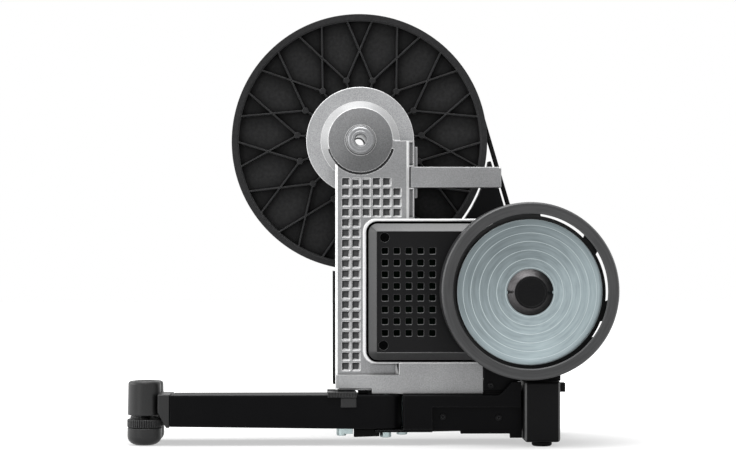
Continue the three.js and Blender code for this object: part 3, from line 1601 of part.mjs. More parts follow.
function knurledWheel() {
  const points = [];
  for (let i = 0; i < knurls; i++) {
    const step = (2 * Math.PI) / knurls;
    for (const [share, radius] of [[0, wheelRadius - knurlDepth], [knurlShare, wheelRadius]]) {
      points.push(polar(radius, (i + share) * step));
    }
  }
  const placed = points.map((p) => new THREE.Vector2(p.x + footX, p.y));
  const grip = plateZ(placed, wheelBottom, wheelTop - wheelTopEdge);
  const shoulder = turned([
    [0, wheelTop - wheelTopEdge - joinOverlap], [wheelRadius - knurlDepth, wheelTop - wheelTopEdge],
    [wheelRadius - wheelTopEdge - knurlDepth, wheelTop], [0, wheelTop],
  ], "z", [footX, 0, 0], roundSteps);
  const bore = rod(footCore + seatGap, wheelBottom - cutOverrun, wheelTop + cutOverrun, "z",
    [footX, 0, 0], roundSteps);
  return cutBy(joined([grip, shoulder]), [bore]);
}

for (const [name, y, drop, out] of [["near", nearLegY, 0, -1], ["far", farLegY, farLegDrop, 1]]) {
  const leg = new THREE.Group();
  leg.position.set(0, y, -drop);
  const foot = new THREE.Group();
  foot.position.set(0, y, 0);
  trainer.add(leg, foot);
  addPiece(leg, `leg_tube_${name}`, legTube(), blackPaint);
  addPiece(leg, `foot_holder_${name}`, footHolder(), greyPlastic);
  addPiece(leg, `leg_latch_${name}`, legLatch(out), greyPlastic);
  addPiece(leg, `lock_pin_${name}`, lockPin(), zincPlated);
  addPiece(foot, `screw_foot_${name}`, screwFoot(), greyPlastic);
  addPiece(foot, `foot_wheel_${name}`, knurledWheel(), greyPlastic);
}

// The part's origin is the middle of its footprint on the floor
const bounds = new THREE.Box3().setFromObject(trainer);
const middle = bounds.getCenter(new THREE.Vector3());
trainer.position.set(-middle.x, -middle.y, -bounds.min.z);

export default trainer;
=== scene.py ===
"""Looks of a direct drive bike trainer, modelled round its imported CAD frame.

Sizes are millimetres in the trainer's own frame: X and Y are zero on the hub's axis, midway between
the dropouts, and Z is zero on the floor. The mesh code turns them into metres.
"""

import json
from math import acos, atan2, cos, hypot, inf, pi, radians, sin, tan

import bmesh
import bpy
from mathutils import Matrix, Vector, geometry

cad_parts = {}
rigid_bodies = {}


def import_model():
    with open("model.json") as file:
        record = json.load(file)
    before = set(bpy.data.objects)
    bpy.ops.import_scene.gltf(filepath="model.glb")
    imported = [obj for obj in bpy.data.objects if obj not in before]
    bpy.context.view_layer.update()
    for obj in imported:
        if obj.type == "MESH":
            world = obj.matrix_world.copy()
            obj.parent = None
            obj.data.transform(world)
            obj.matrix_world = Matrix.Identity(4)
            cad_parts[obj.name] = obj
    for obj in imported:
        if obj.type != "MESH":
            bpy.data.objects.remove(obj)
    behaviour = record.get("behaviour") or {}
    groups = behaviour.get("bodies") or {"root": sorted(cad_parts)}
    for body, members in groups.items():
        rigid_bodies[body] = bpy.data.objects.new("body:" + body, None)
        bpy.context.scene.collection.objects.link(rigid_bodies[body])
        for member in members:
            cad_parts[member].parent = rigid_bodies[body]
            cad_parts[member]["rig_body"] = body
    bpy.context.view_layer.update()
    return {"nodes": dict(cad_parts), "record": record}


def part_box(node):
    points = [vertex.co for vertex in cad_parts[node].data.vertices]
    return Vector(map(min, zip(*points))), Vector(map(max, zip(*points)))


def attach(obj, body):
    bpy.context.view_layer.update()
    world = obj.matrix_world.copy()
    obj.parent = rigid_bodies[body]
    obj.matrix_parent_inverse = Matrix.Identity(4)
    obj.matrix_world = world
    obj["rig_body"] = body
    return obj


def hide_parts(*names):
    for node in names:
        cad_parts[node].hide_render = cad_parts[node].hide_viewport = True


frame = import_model()

# The trainer's own frame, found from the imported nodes
MM = 0.001
pulley_low, pulley_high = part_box("pulley_wheel")
ORIGIN = Vector((
    (pulley_low.x + pulley_high.x) / 2,
    (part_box("end_cap_near")[0].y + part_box("end_cap_far")[1].y) / 2,
    0,
))


def span(node):
    """A node's lowest and highest corners in millimetres, in the trainer's own frame."""
    low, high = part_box(node)
    return (low - ORIGIN) / MM, (high - ORIGIN) / MM


def middle(node):
    low, high = span(node)
    return (low + high) / 2


HUB = middle("pulley_wheel")
FLYWHEEL = middle("flywheel_disc")
HUB_XZ = Vector((HUB.x, HUB.z))
HUB_AT, WHEEL_AT = (HUB.x, 0, HUB.z), (FLYWHEEL.x, 0, FLYWHEEL.z)
COVER_BOTTOM, COVER_TOP = span("brake_cover")[0].z, span("brake_cover")[1].z

# Belt, shared with the pulley and the pinion
PULLEY_TREAD, PINION_TREAD = 140, 10.5
BELT_PITCH, FLANGE_WIDTH, GROOVE_RISE = 3.1, 2.2, 1.5

CHAIN_PITCH = 12.7

# Counts of steps round a circle
RING_STEPS = 160
TURN_STEPS = 96
SMALL_STEPS = 40
ROUNDING_STEPS = 3
SMOOTH_ANGLE = radians(38)

# How near two points of a mesh are made one, in metres
POINT_WELD = 2e-6
CUT_WELD = 8e-6


# Mesh building

class Shape:
    """Points and faces gathered before they become one mesh."""

    def __init__(self):
        self.points = []
        self.faces = []
        self.finishes = []

    def add(self, points, faces, finish=0):
        start = len(self.points)
        self.points += [Vector(p) for p in points]
        self.faces += [[start + i for i in face] for face in faces]
        self.finishes += [finish] * len(faces)

    def stack(self, loops, closed=False, finish=0, capped=True):
        """Joins loops of equal count one after the other. An open stack is capped at both ends,
        unless its caps are made apart."""
        count = len(loops[0])
        start = len(self.points)
        self.points += [Vector(p) for loop in loops for p in loop]
        bands = len(loops) if closed else len(loops) - 1
        for band in range(bands):
            here, there = start + band * count, start + (band + 1) % len(loops) * count
            for i in range(count):
                j = (i + 1) % count
                self.faces.append([here + i, here + j, there + j, there + i])
            self.finishes += [finish(band) if callable(finish) else finish] * count
        if capped and not closed:
            last = start + (len(loops) - 1) * count
            self.faces += [list(range(start, start + count)), list(range(last, last + count))]
            self.finishes += [0 if callable(finish) else finish] * 2

    def lathe(self, profile, centre=(0, 0, 0), axis="y", steps=TURN_STEPS, finish=0, swell=None):
        """Turns a profile of (radius, place along the axis) pairs. A profile with a point of no
        radius is solid to its axis, and any other is a closed ring."""
        solid = any(radius == 0 for radius, _ in profile)
        loops = []
        for radius, along in profile:
            if radius == 0:
                continue
            loop = []
            for step in range(steps):
                angle = 2 * pi * step / steps
                r = radius * swell(angle, along) if swell else radius
                u, v = r * cos(angle), r * sin(angle)
                place = {"x": (along, u, v), "y": (u, along, v), "z": (u, v, along)}[axis]
                loop.append(Vector(centre) + Vector(place))
            loops.append(loop)
        self.stack(loops, closed=not solid, finish=finish)

    def filled(self, loops, y, finish=0):
        """A flat face in X and Z: the first loop is its edge and the others are holes."""
        corners, sides = [], []
        for loop in loops:
            start = len(corners)
            corners += [Vector(p) for p in loop]
            sides.append(list(range(start, start + len(loop))))
        found = geometry.delaunay_2d_cdt(corners, [], sides, 2, 1e-6)
        self.add([(p.x, y, p.y) for p in found[0]], found[2], finish)

    def sleeve(self, stations, finish=0):
        """Joins outlines with holes in X and Z, each set at its own place along Y."""
        for y, loops in (stations[0], stations[-1]):
            self.filled(loops, y, finish)
        for k in range(len(stations[0][1])):
            self.stack([[(p.x, y, p.y) for p in station[k]] for y, station in stations],
                       finish=finish, capped=False)

    def plate(self, outer, holes, near, far, edge=0.5, finish=0):
        """A plate between two places along Y with rounded edges, from outlines in X and Z."""
        self.sleeve([(y, [offset(outer, -inset)] + [offset(hole, inset) for hole in holes])
                     for y, inset in eased_levels(near, far, edge)], finish)

    def post(self, plan, low, high, edge=0.4, finish=0):
        """A prism along Z with its top and bottom edges eased, from an outline in X and Y."""
        self.stack([[(p.x, p.y, z) for p in offset(plan, -inset)]
                    for z, inset in eased_levels(low, high, edge)], finish=finish)

    def box(self, low, high, edge=0.4, finish=0):
        """A block with all its edges eased."""
        (x0, y0, z0), (x1, y1, z1) = low, high
        self.post(rounded(oblong(x0, x1, y0, y1), 1.7 * edge), z0, z1, edge, finish)


def eased_levels(near, far, edge):
    """Places from one face of a body to the other, each with how far it is drawn in there for a
    quarter round at either edge."""
    quarter = [pi / 2 * i / ROUNDING_STEPS for i in range(ROUNDING_STEPS + 1)]
    insets = [(edge * (1 - sin(a)), edge * (1 - cos(a))) for a in quarter]
    return ([(near + down, inset) for inset, down in insets]
            + [(far - down, inset) for inset, down in reversed(insets)])


def oblong(left, right, low, high):
    return [(left, low), (right, low), (right, high), (left, high)]


def rounded(points, radius, steps=ROUNDING_STEPS, closed=True):
    """The same outline or profile with its corners eased."""
    corners = [Vector(p).to_2d() for p in points]
    result = []
    for i, corner in enumerate(corners):
        if not closed and i in (0, len(corners) - 1):
            result.append(corner)
            continue
        back = corners[i - 1] - corner
        ahead = corners[(i + 1) % len(corners)] - corner
        turn = back.angle(ahead)
        if turn > radians(172):
            result.append(corner)
            continue
        reach = min(radius / tan(turn / 2), back.length * 0.45, ahead.length * 0.45)
        start = corner + back.normalized() * reach
        end = corner + ahead.normalized() * reach
        for step in range(steps + 1):
            t = step / steps
            result.append(start.lerp(corner, t).lerp(corner.lerp(end, t), t))
    return result


def offset(loop, distance):
    """The loop moved outwards by a distance, or inwards by a negative one."""
    if not distance:
        return [Vector(p) for p in loop]
    count = len(loop)
    area = sum(loop[i - 1].cross(loop[i]) for i in range(count))
    way = 1 if area > 0 else -1
    moved = []
    for i, point in enumerate(loop):
        before = (point - loop[i - 1]).normalized()
        after = (loop[(i + 1) % count] - point).normalized()
        first = Vector((before.y, -before.x)) * way
        second = Vector((after.y, -after.x)) * way
        both = first + second
        moved.append(point + both * (distance / max(1 + first.dot(second), 0.3)))
    return moved


def arc(x, z, radius, start, end, steps):
    angles = [start + (end - start) * i / steps for i in range(steps + 1)]
    return [Vector((x + radius * cos(a), z + radius * sin(a))) for a in angles]


def ring(x, z, radius, count):
    """A full circle of so many points."""
    return arc(x, z, radius, 0, 2 * pi * (count - 1) / count, count - 1)


def placed(name, data, at=(0, 0, 0)):
    """A new object in the scene."""
    obj = bpy.data.objects.new(name, data)
    bpy.context.scene.collection.objects.link(obj)
    obj.location = at
    return obj


def mesh_of(name, shape, centre, triangles=False):
    """A shape's mesh about a centre, its points welded and its faces turned outwards."""
    mesh = bpy.data.meshes.new(name)
    mesh.from_pydata([(p - centre) * MM for p in shape.points], [], shape.faces)
    mesh.polygons.foreach_set("material_index", shape.finishes)
    bm = bmesh.new()
    bm.from_mesh(mesh)
    bmesh.ops.remove_doubles(bm, verts=bm.verts, dist=POINT_WELD)
    bmesh.ops.recalc_face_normals(bm, faces=bm.faces)
    if triangles:
        bmesh.ops.triangulate(bm, faces=bm.faces)
    bm.to_mesh(mesh)
    bm.free()
    return mesh


def finished(obj, body, looks, nodes=()):
    """Gives a piece its smooth shading, finishes and body."""
    for look in looks if isinstance(looks, (list, tuple)) else [looks]:
        obj.data.materials.append(look)
    obj.data.shade_smooth()
    obj.data.set_sharp_from_angle(angle=SMOOTH_ANGLE)
    normals = obj.modifiers.new("even_normals", "WEIGHTED_NORMAL")
    normals.keep_sharp = True
    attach(obj, body)
    if nodes:
        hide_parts(*nodes)
    return obj


def piece(name, shape, body, looks, nodes=(), centre=(0, 0, 0)):
    """Makes a mesh object of a shape. Its own origin is at centre, in the trainer's frame."""
    centre = Vector(centre)
    obj = placed(name, mesh_of(name, shape, centre), ORIGIN + centre * MM)
    return finished(obj, body, looks, nodes)


def lathed(profile, at, ease=0.0, ease_steps=ROUNDING_STEPS, closed=True, **turning):
    """A shape turned from a profile, the profile's corners eased."""
    outline = rounded(profile, ease, ease_steps, closed) if ease else profile
    shape = Shape()
    shape.lathe([tuple(p) for p in outline], at, **turning)
    return shape


def turned_piece(name, node, profile, at, body, slot, looks, *easing, **turning):
    """A piece turned about Y in a node's place."""
    piece(name, lathed(profile, at, *easing, **turning), body, looks, [node], centre=at)


def solid(shape):
    """A closed mesh object of a shape, in place, from which another piece is made."""
    return placed("solid", mesh_of("solid", shape, Vector(), triangles=True))


def carved(name, first, steps, body, looks, nodes, paint=None):
    """A piece made from one shape by adding and cutting away others in turn.
    paint gives a face's finish number from its normal and centre."""
    base = solid(first)
    helpers = [base]
    for operation, shape in steps:
        helper = solid(shape)
        helpers.append(helper)
        step = base.modifiers.new(operation.lower(), "BOOLEAN")
        step.solver = "EXACT"
        step.operation = operation
        step.object = helper
    found = base.evaluated_get(bpy.context.evaluated_depsgraph_get())
    mesh = bpy.data.meshes.new_from_object(found)
    mesh.name = name
    mesh.materials.clear()
    for helper in helpers:
        used = helper.data
        bpy.data.objects.remove(helper)
        bpy.data.meshes.remove(used)
    bm = bmesh.new()
    bm.from_mesh(mesh)
    bmesh.ops.remove_doubles(bm, verts=bm.verts, dist=CUT_WELD)
    bm.to_mesh(mesh)
    bm.free()
    for face in mesh.polygons:
        face.material_index = paint(face.normal, face.center / MM) if paint else 0
    return finished(placed(name, mesh, ORIGIN), body, looks, nodes)


# Edges of the CAD solids are rounded in a copy
WELD = 2e-5
FLAT_ANGLE = radians(0.7)
SHARP_ANGLE = radians(32)
ROOM_SHARE = 0.42
STRAIGHT_ON = -0.85
LEAST_ACROSS = 0.02


def room(edge):
    """The widest rounding that the faces beside an edge leave, in metres."""
    least = inf
    for vert in edge.verts:
        along = (edge.other_vert(vert).co - vert.co).normalized()
        for side in vert.link_edges:
            way = side.other_vert(vert).co - vert.co
            if side is edge or way.normalized().dot(along) < STRAIGHT_ON:
                continue
            across = way.cross(along).length
            if across > LEAST_ACROSS * way.length:
                least = min(least, across)
    return ROOM_SHARE * least


def softened(node, width, looks, segments=2, paint=None):
    """A copy of a CAD node with its sharp edges rounded, by less where there is little room.
    paint gives a face's finish number from its normal and centre."""
    source = frame["nodes"][node]
    bm = bmesh.new()
    bm.from_mesh(source.data)
    bmesh.ops.remove_doubles(bm, verts=bm.verts, dist=WELD)
    bmesh.ops.dissolve_degenerate(bm, edges=bm.edges, dist=WELD)
    bmesh.ops.dissolve_limit(bm, angle_limit=FLAT_ANGLE, verts=bm.verts, edges=bm.edges)
    bmesh.ops.recalc_face_normals(bm, faces=bm.faces)
    weight = bm.edges.layers.float.new("bevel_weight_edge")
    for edge in bm.edges:
        if len(edge.link_faces) == 2 and edge.calc_face_angle(0) > SHARP_ANGLE:
            edge[weight] = min(1, room(edge) / (width * MM))
    for face in bm.faces:
        centre = (face.calc_center_median() - ORIGIN) / MM
        face.material_index = paint(face.normal, centre) if paint else 0
    mesh = bpy.data.meshes.new(node + "_soft")
    bm.to_mesh(mesh)
    bm.free()
    stored = mesh.attributes.get("custom_normal")
    if stored:
        mesh.attributes.remove(stored)
    obj = placed(node + "_soft", mesh)
    bevel = obj.modifiers.new("soft_edges", "BEVEL")
    bevel.limit_method = "WEIGHT"
    bevel.width = width * MM
    bevel.segments = segments
    bevel.use_clamp_overlap = False
    return finished(obj, source["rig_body"], looks, [node])


# Materials

def made(nodes, kind, operation=None, **values):
    """A new shader node with its operation and the values of its sockets."""
    node = nodes.new("ShaderNode" + kind)
    if operation:
        node.operation = operation
    for name, value in values.items():
        node.inputs[name.replace("_", " ").title()].default_value = value
    return node


def vectors(nodes, links, operation, *values, **fixed):
    """A vector sum, product, length or the like, of outputs and plain vectors."""
    node = made(nodes, "VectorMath", operation, **fixed)
    for socket, value in zip(node.inputs, values):
        if isinstance(value, tuple):
            socket.default_value = value
        else:
            links.new(value, socket)
    return node


def ramp(nodes, links, value, start, end, low=0.0, high=1.0, kind="LINEAR"):
    """A value carried from one range to another and kept inside it."""
    scaled = made(nodes, "MapRange", from_min=start, from_max=end, to_min=low, to_max=high)
    scaled.interpolation_type = kind
    links.new(value, scaled.inputs["Value"])
    return scaled.outputs["Result"]


def mixed(nodes, links, share, first, second):
    """Two tones, each an output or a plain colour, mixed by the second one's share."""
    mix = nodes.new("ShaderNodeMix")
    mix.data_type = "RGBA"
    links.new(share, mix.inputs["Factor"])
    for name, tone in (("A", first), ("B", second)):
        if isinstance(tone, tuple):
            mix.inputs[name].default_value = (*tone, 1)
        else:
            links.new(tone, mix.inputs[name])
    return mix.outputs["Result"]


BROAD_SHARE = 0.35
BROAD_SCALE = 1 / 40


def look(name, dark, light, grain, roughness, metallic=0.0, bump=0.15, depth=0.02, specular=0.5,
         edge=None, edge_width=0.7, turned=False, anisotropy=0.0, shade=None, shade_gradient=None):
    """A finish: two mixed tones, uneven gloss, a fine relief and, if asked, paler edges, which are
    a painted highlight.
    Grains are spots to the metre. A turned one runs in circles round the piece's own origin.
    shade holds how far painted shade reaches out of a corner and the share of the tone
    left in it.
    shade_gradient holds a painted shade gradient: a direction, two places along it in metres
    and the share left at the second."""
    material = bpy.data.materials.new(name)
    material.use_nodes = True
    nodes, links = material.node_tree.nodes, material.node_tree.links
    shader = nodes["Principled BSDF"]
    shader.inputs["Metallic"].default_value = metallic
    shader.inputs["Specular IOR Level"].default_value = specular
    places = nodes.new("ShaderNodeTexCoord").outputs["Object"]
    coordinates = circular(nodes, links, places) if turned else places

    def spots(scale, detail):
        noise = made(nodes, "TexNoise", scale=scale, detail=detail)
        links.new(coordinates, noise.inputs["Vector"])
        return noise.outputs["Fac"]

    fine = spots(grain, 3)
    blend = made(nodes, "Math", "MULTIPLY_ADD")
    links.new(spots(grain * BROAD_SCALE, 2), blend.inputs[0])
    blend.inputs[1].default_value = BROAD_SHARE
    links.new(fine, blend.inputs[2])
    tone = mixed(nodes, links, ramp(nodes, links, blend.outputs[0], 0.38, 0.98), dark, light)
    if shade_gradient:
        # A painted shade gradient: the tone darkens along a direction.
        direction, start, end, left = shade_gradient
        along = vectors(nodes, links, "DOT_PRODUCT", places, direction).outputs["Value"]
        shaded_tone = vectors(nodes, links, "SCALE", tone)
        links.new(ramp(nodes, links, along, start, end, 1.0, left), shaded_tone.inputs["Scale"])
        tone = shaded_tone.outputs[0]
    if edge:
        # Paler edges: a painted highlight.
        tone = mixed(nodes, links, painted_edge_highlight(nodes, links, edge_width), tone, edge)
    # Painted shade: the tone darkens in corners, creases and recesses.
    if shade:
        reach, left = shade
        corner = made(nodes, "AmbientOcclusion", distance=reach * MM)
        corner.samples = 8
        unshaded_share = ramp(nodes, links, corner.outputs["AO"], 0.3, 0.95, left)
        tone = mixed(nodes, links, unshaded_share, (0, 0, 0), tone)
    links.new(tone, shader.inputs["Base Color"])
    links.new(ramp(nodes, links, fine, 0.0, 1.0, *roughness), shader.inputs["Roughness"])

    relief = made(nodes, "Bump", strength=bump, distance=depth * MM)
    links.new(spots(grain * 1.7, 4), relief.inputs["Height"])
    links.new(relief.outputs["Normal"], shader.inputs["Normal"])
    if anisotropy:
        shader.inputs["Anisotropic"].default_value = anisotropy
        tangent = nodes.new("ShaderNodeTangent")
        tangent.direction_type = "RADIAL"
        tangent.axis = "Y"
        links.new(tangent.outputs["Tangent"], shader.inputs["Tangent"])
    return material


def circular(nodes, links, coordinates):
    """Coordinates that keep close tool marks apart by radius and stretch them round the Y axis."""
    flat = vectors(nodes, links, "MULTIPLY", coordinates, (1, 0, 1)).outputs[0]
    direction = vectors(nodes, links, "NORMALIZE", flat).outputs[0]
    small = vectors(nodes, links, "SCALE", direction, scale=0.006)
    away = nodes.new("ShaderNodeCombineXYZ")
    radius = vectors(nodes, links, "LENGTH", flat).outputs["Value"]
    links.new(radius, away.inputs["Y"])
    return vectors(nodes, links, "ADD", small.outputs[0], away.outputs[0]).outputs[0]


def painted_edge_highlight(nodes, links, width):
    """Where a painted highlight goes: 1 at a piece's edges and 0 on its flats, from how a rounded
    normal turns away.
    """
    bevel = made(nodes, "Bevel", radius=width * MM)
    bevel.samples = 6
    surface = nodes.new("ShaderNodeNewGeometry")
    agree = vectors(nodes, links, "DOT_PRODUCT", bevel.outputs["Normal"], surface.outputs["Normal"])
    return ramp(nodes, links, agree.outputs["Value"], 0.995, 0.86)


# In the looks below, edge paints a highlight on edges and shade paints shade into corners.
EDGE_LIGHT = (0.95, 0.95, 0.95)
BLASTED = {"grain": 820, "roughness": (0.4, 0.54), "bump": 0.6, "depth": 0.06}
# Near-white edges for the cast metals: a painted highlight.
EDGE_HIGHLIGHT = {"edge": EDGE_LIGHT, "edge_width": 1.3}
cast_metal = look("cast_metal", (0.18, 0.182, 0.185), (0.32, 0.323, 0.328), metallic=0.7,
                  shade=(3.5, 0.12), **BLASTED, **EDGE_HIGHLIGHT)
flange_metal = look("flange_metal", (0.24, 0.243, 0.248), (0.48, 0.483, 0.49), metallic=0.7,
                    **BLASTED, **EDGE_HIGHLIGHT)
# The dome's face darkens towards the lower right: a painted shade gradient.
dome_metal = look("dome_metal", (0.16, 0.162, 0.165), (0.31, 0.313, 0.318), metallic=0.7,
                  shade_gradient=((0.45, 0, -0.9), -0.335, -0.28, 0.5), **BLASTED, **EDGE_HIGHLIGHT)
# A lighter copy for the dome's sloped band, which faces the top lamp: a painted highlight.
lit_slope_metal = look("lit_slope_metal", (0.36, 0.362, 0.365), (0.54, 0.543, 0.548), metallic=0.3,
                   **BLASTED)
# The foot block's face darkens towards the right: a painted shade gradient.
block_metal = look("block_metal", (0.24, 0.242, 0.245), (0.42, 0.423, 0.428), metallic=0.7,
                   shade=(3, 0.2), shade_gradient=((1, 0, 0), -0.02, 0.16, 0.72), **BLASTED, **EDGE_HIGHLIGHT)
# A pale copy of the cast metal for faces that catch the lamps: a painted highlight.
highlight_metal = look("highlight_metal", (0.72, 0.722, 0.725), (0.92, 0.922, 0.925), 820, (0.4, 0.5),
                    metallic=0.5, bump=0.3, depth=0.03, shade=(2.5, 0.4))
# A dark copy of the cast metal for the groove and pit walls in shade: painted shade.
shaded_recess_metal = look("shaded_recess_metal", (0.04, 0.0405, 0.042), (0.08, 0.081, 0.083), 820, (0.45, 0.6),
                  metallic=0.6, bump=0.5, depth=0.04, shade=(4, 0.3))
turned_metal = look("turned_metal", (0.36, 0.37, 0.38), (0.5, 0.51, 0.52), 900, (0.24, 0.38),
                    metallic=1.0, bump=0.2, turned=True)
cap_metal = look("cap_metal", (0.20, 0.203, 0.21), (0.30, 0.304, 0.31), 900, (0.3, 0.42),
                 metallic=0.8, bump=0.2, edge=EDGE_LIGHT, edge_width=0.8, shade=(6, 0.1))
dark_metal = look("dark_metal", (0.05, 0.048, 0.05), (0.10, 0.097, 0.098), 900, (0.26, 0.38),
                  metallic=1.0, bump=0.3, turned=True, anisotropy=0.8)
# The disc darkens towards the upper left: a painted shade gradient.
zinc_metal = look("zinc_metal", (0.24, 0.29, 0.305), (0.38, 0.45, 0.47), 420, (0.27, 0.4),
                  metallic=0.85, bump=0.5, depth=0.04, turned=True, anisotropy=0.8,
                  shade_gradient=((-0.8, 0, 0.6), -0.045, 0.055, 0.6))
# A paler copy of the zinc for the step slopes: painted highlight rings.
lit_ring_metal = look("lit_ring_metal", (0.40, 0.46, 0.475), (0.56, 0.63, 0.645), 700, (0.28, 0.4),
                  metallic=0.7, bump=0.2, turned=True)
bolt_metal = look("bolt_metal", (0.34, 0.42, 0.43), (0.5, 0.58, 0.58), 800, (0.28, 0.42),
                  metallic=0.95, bump=0.2, edge=(0.8, 0.84, 0.84), edge_width=0.4)
black_plastic = look("black_plastic", (0.004, 0.004, 0.0045), (0.009, 0.009, 0.0095), 900,
                     (0.42, 0.55), specular=0.08, bump=0.35, depth=0.03,
                     edge=(0.06, 0.06, 0.062), edge_width=0.6, shade=(10, 0.3))
cover_plastic = look("cover_plastic", (0.006, 0.006, 0.0065), (0.012, 0.012, 0.0125), 900,
                     (0.42, 0.55), specular=0.1, bump=0.35, depth=0.03,
                     edge=(0.07, 0.07, 0.072), edge_width=0.7, shade=(7, 0.1))
rib_plastic = look("rib_plastic", (0.018, 0.018, 0.0185), (0.034, 0.034, 0.035), 500, (0.36, 0.5),
                   specular=0.12, bump=0.4, depth=0.03, edge=(0.10, 0.10, 0.102), edge_width=0.6)
web_plastic = look("web_plastic", (0.018, 0.018, 0.0185), (0.036, 0.036, 0.0365), 260, (0.5, 0.65),
                   specular=0.08, bump=0.7, depth=0.05, shade=(15, 0.05))
black_paint = look("black_paint", (0.002, 0.002, 0.0024), (0.0045, 0.0045, 0.005), 1300,
                   (0.34, 0.46), specular=0.05, bump=0.4, depth=0.02,
                   edge=(0.075, 0.075, 0.077), edge_width=1.1)
# Deeper black for the gap round the cover and the screws in its recesses: painted shade.
shade_black = look("shade_black", (0.001, 0.001, 0.0011), (0.002, 0.002, 0.0022), 1300, (0.5, 0.6),
                  specular=0.02, bump=0.4, depth=0.02)
# A paler copy of the black plastic for rounded upright edges: a painted highlight.
highlight_plastic = look("highlight_plastic", (0.075, 0.075, 0.076), (0.12, 0.12, 0.121), 900, (0.36, 0.46),
                    specular=0.3, bump=0.35, depth=0.03)
bezel_finish = look("bezel_finish", (0.04, 0.04, 0.041), (0.062, 0.062, 0.063), 700, (0.3, 0.4),
                    specular=0.4, bump=0.3, depth=0.02, edge=(0.2, 0.2, 0.2), edge_width=0.5)
bezel_lit = look("bezel_lit", (0.10, 0.1, 0.101), (0.15, 0.15, 0.151), 700, (0.3, 0.4),
                 specular=0.4, bump=0.3, depth=0.02, edge=(0.3, 0.3, 0.3), edge_width=0.5)
guard_finish = look("guard_finish", (0.035, 0.0355, 0.0365), (0.062, 0.0625, 0.064), 500,
                    (0.32, 0.44), metallic=0.3, specular=0.45, bump=0.35, depth=0.02, turned=True,
                    edge=(0.2, 0.2, 0.203), edge_width=0.9, anisotropy=0.6, shade=(6, 0.05))
rubber = look("rubber", (0.004, 0.004, 0.004), (0.009, 0.009, 0.009), 600, (0.6, 0.75),
              specular=0.08, bump=0.5, depth=0.05)
belt_rubber = look("belt_rubber", (0.004, 0.004, 0.004), (0.009, 0.009, 0.009), 1500, (0.55, 0.7),
                   specular=0.08, bump=0.5, depth=0.04)
grey_plastic = look("grey_plastic", (0.010, 0.0102, 0.0105), (0.020, 0.0202, 0.0206), 900,
                    (0.3, 0.42), specular=0.3, bump=0.45, depth=0.03,
                    edge=(0.1, 0.1, 0.102), edge_width=0.7, shade=(6, 0.3))
grip_plastic = look("grip_plastic", (0.012, 0.0122, 0.0125), (0.022, 0.0222, 0.0226), 900,
                    (0.36, 0.5), specular=0.3, bump=0.45, depth=0.03,
                    edge=(0.13, 0.13, 0.132), edge_width=0.5, shade=(1.2, 0.1))
board_green = look("board_green", (0.002, 0.008, 0.004), (0.004, 0.016, 0.008), 160, (0.35, 0.5),
                   specular=0.05, shade=(14, 0.1))
copper_wire = look("copper_wire", (0.28, 0.1, 0.04), (0.45, 0.19, 0.08), 300, (0.3, 0.45),
                   metallic=0.9, turned=True)


# Hub: pulley, freehub, cassette, axle and end caps

def pulley_wheel():
    near, far = span("pulley_wheel")[0].y, span("pulley_wheel")[1].y
    flange_radius = (span("pulley_wheel")[1] - HUB).x
    tread = flange_radius - 4.5
    rim_inner = tread - 3.5
    web_near, web_far = -3.5, 0.5
    hub_radius, bore = 30, 18.8
    profile = [(bore, near), (hub_radius, near), (hub_radius + 1.2, web_near),
               (rim_inner - 0.9, web_near), (rim_inner, near + 1.6), (rim_inner + 1.3, near + 1.4),
               (rim_inner + 1.5, near), *grooved(tread, flange_radius, near, far),
               (rim_inner, far), (rim_inner - 0.9, web_far), (hub_radius + 1, web_far),
               (hub_radius, far), (bore, far)]
    shape = Shape()
    outline = rounded(profile, 0.6, 2)
    raised = [p.y < near + 3.4 and p.x > rim_inner - 0.2 for p in outline]
    shape.lathe(outline, HUB_AT, steps=RING_STEPS,
                finish=lambda band: 0 if raised[band] and raised[(band + 1) % len(outline)] else 1)
    node_count, node_radius, spread = 15, 70.7, radians(17.8)
    rib_top, rib_end = near + 2, rim_inner + 0.4
    for i in range(node_count):
        angle = radians(6) + 2 * pi * i / node_count
        node = polar(node_radius, angle)
        rib(shape, polar(hub_radius - 1, angle), node, rib_top, web_near)
        for side in (-1, 1):
            rib(shape, node, polar(rib_end, angle + side * spread), rib_top, web_near)
        rib(shape, polar(hub_radius - 1, angle), polar(rib_end, angle), far - 3.5, web_far)
        knob = rounded([(0, web_near + 0.5), (4.2, web_near + 0.5), (3.4, rib_top - 0.3),
                        (0, rib_top - 0.3)], 0.5, 2, closed=False)
        shape.lathe([(p.x, p.y) for p in knob], (HUB.x + node.x, 0, HUB.z + node.y), steps=16)
    piece("pulley_wheel_ribbed", shape, "pulley", [rib_plastic, web_plastic],
          ["pulley_wheel"])


def grooved(tread, flange, low, high):
    """The profile of a belt's running face, from the edge of one flange to that of the other."""
    y, end = low + FLANGE_WIDTH, high - FLANGE_WIDTH
    profile = [(flange, low), (flange, y), (tread, y)]
    while y + BELT_PITCH < end - 0.4:
        profile += [(tread + GROOVE_RISE, y + BELT_PITCH / 2), (tread, y + BELT_PITCH)]
        y += BELT_PITCH
    return profile + [(tread, end), (flange, end), (flange, high)]


def polar(radius, angle):
    return Vector((radius * cos(angle), radius * sin(angle)))


def rib(shape, start, end, top, base):
    """A drafted rib on the pulley's web, from one point to another in X and Z about the hub."""
    base_half, top_half, sink, ease = 1.5, 0.75, 0.6, 0.35
    way = (end - start).normalized()
    across = Vector((-way.y, way.x))
    up = 1 if top > base else -1
    section = rounded([(-base_half, base - up * sink), (-top_half, top), (top_half, top),
                       (base_half, base - up * sink)], ease, 2)
    loops = []
    for place in (start, end):
        spots = [place + across * side for side, _ in section]
        loops.append([(HUB.x + spot.x, height, HUB.z + spot.y)
                      for spot, (_, height) in zip(spots, section)])
    shape.stack(loops)


def pitch_radius(teeth):
    return CHAIN_PITCH / (2 * sin(pi / teeth))


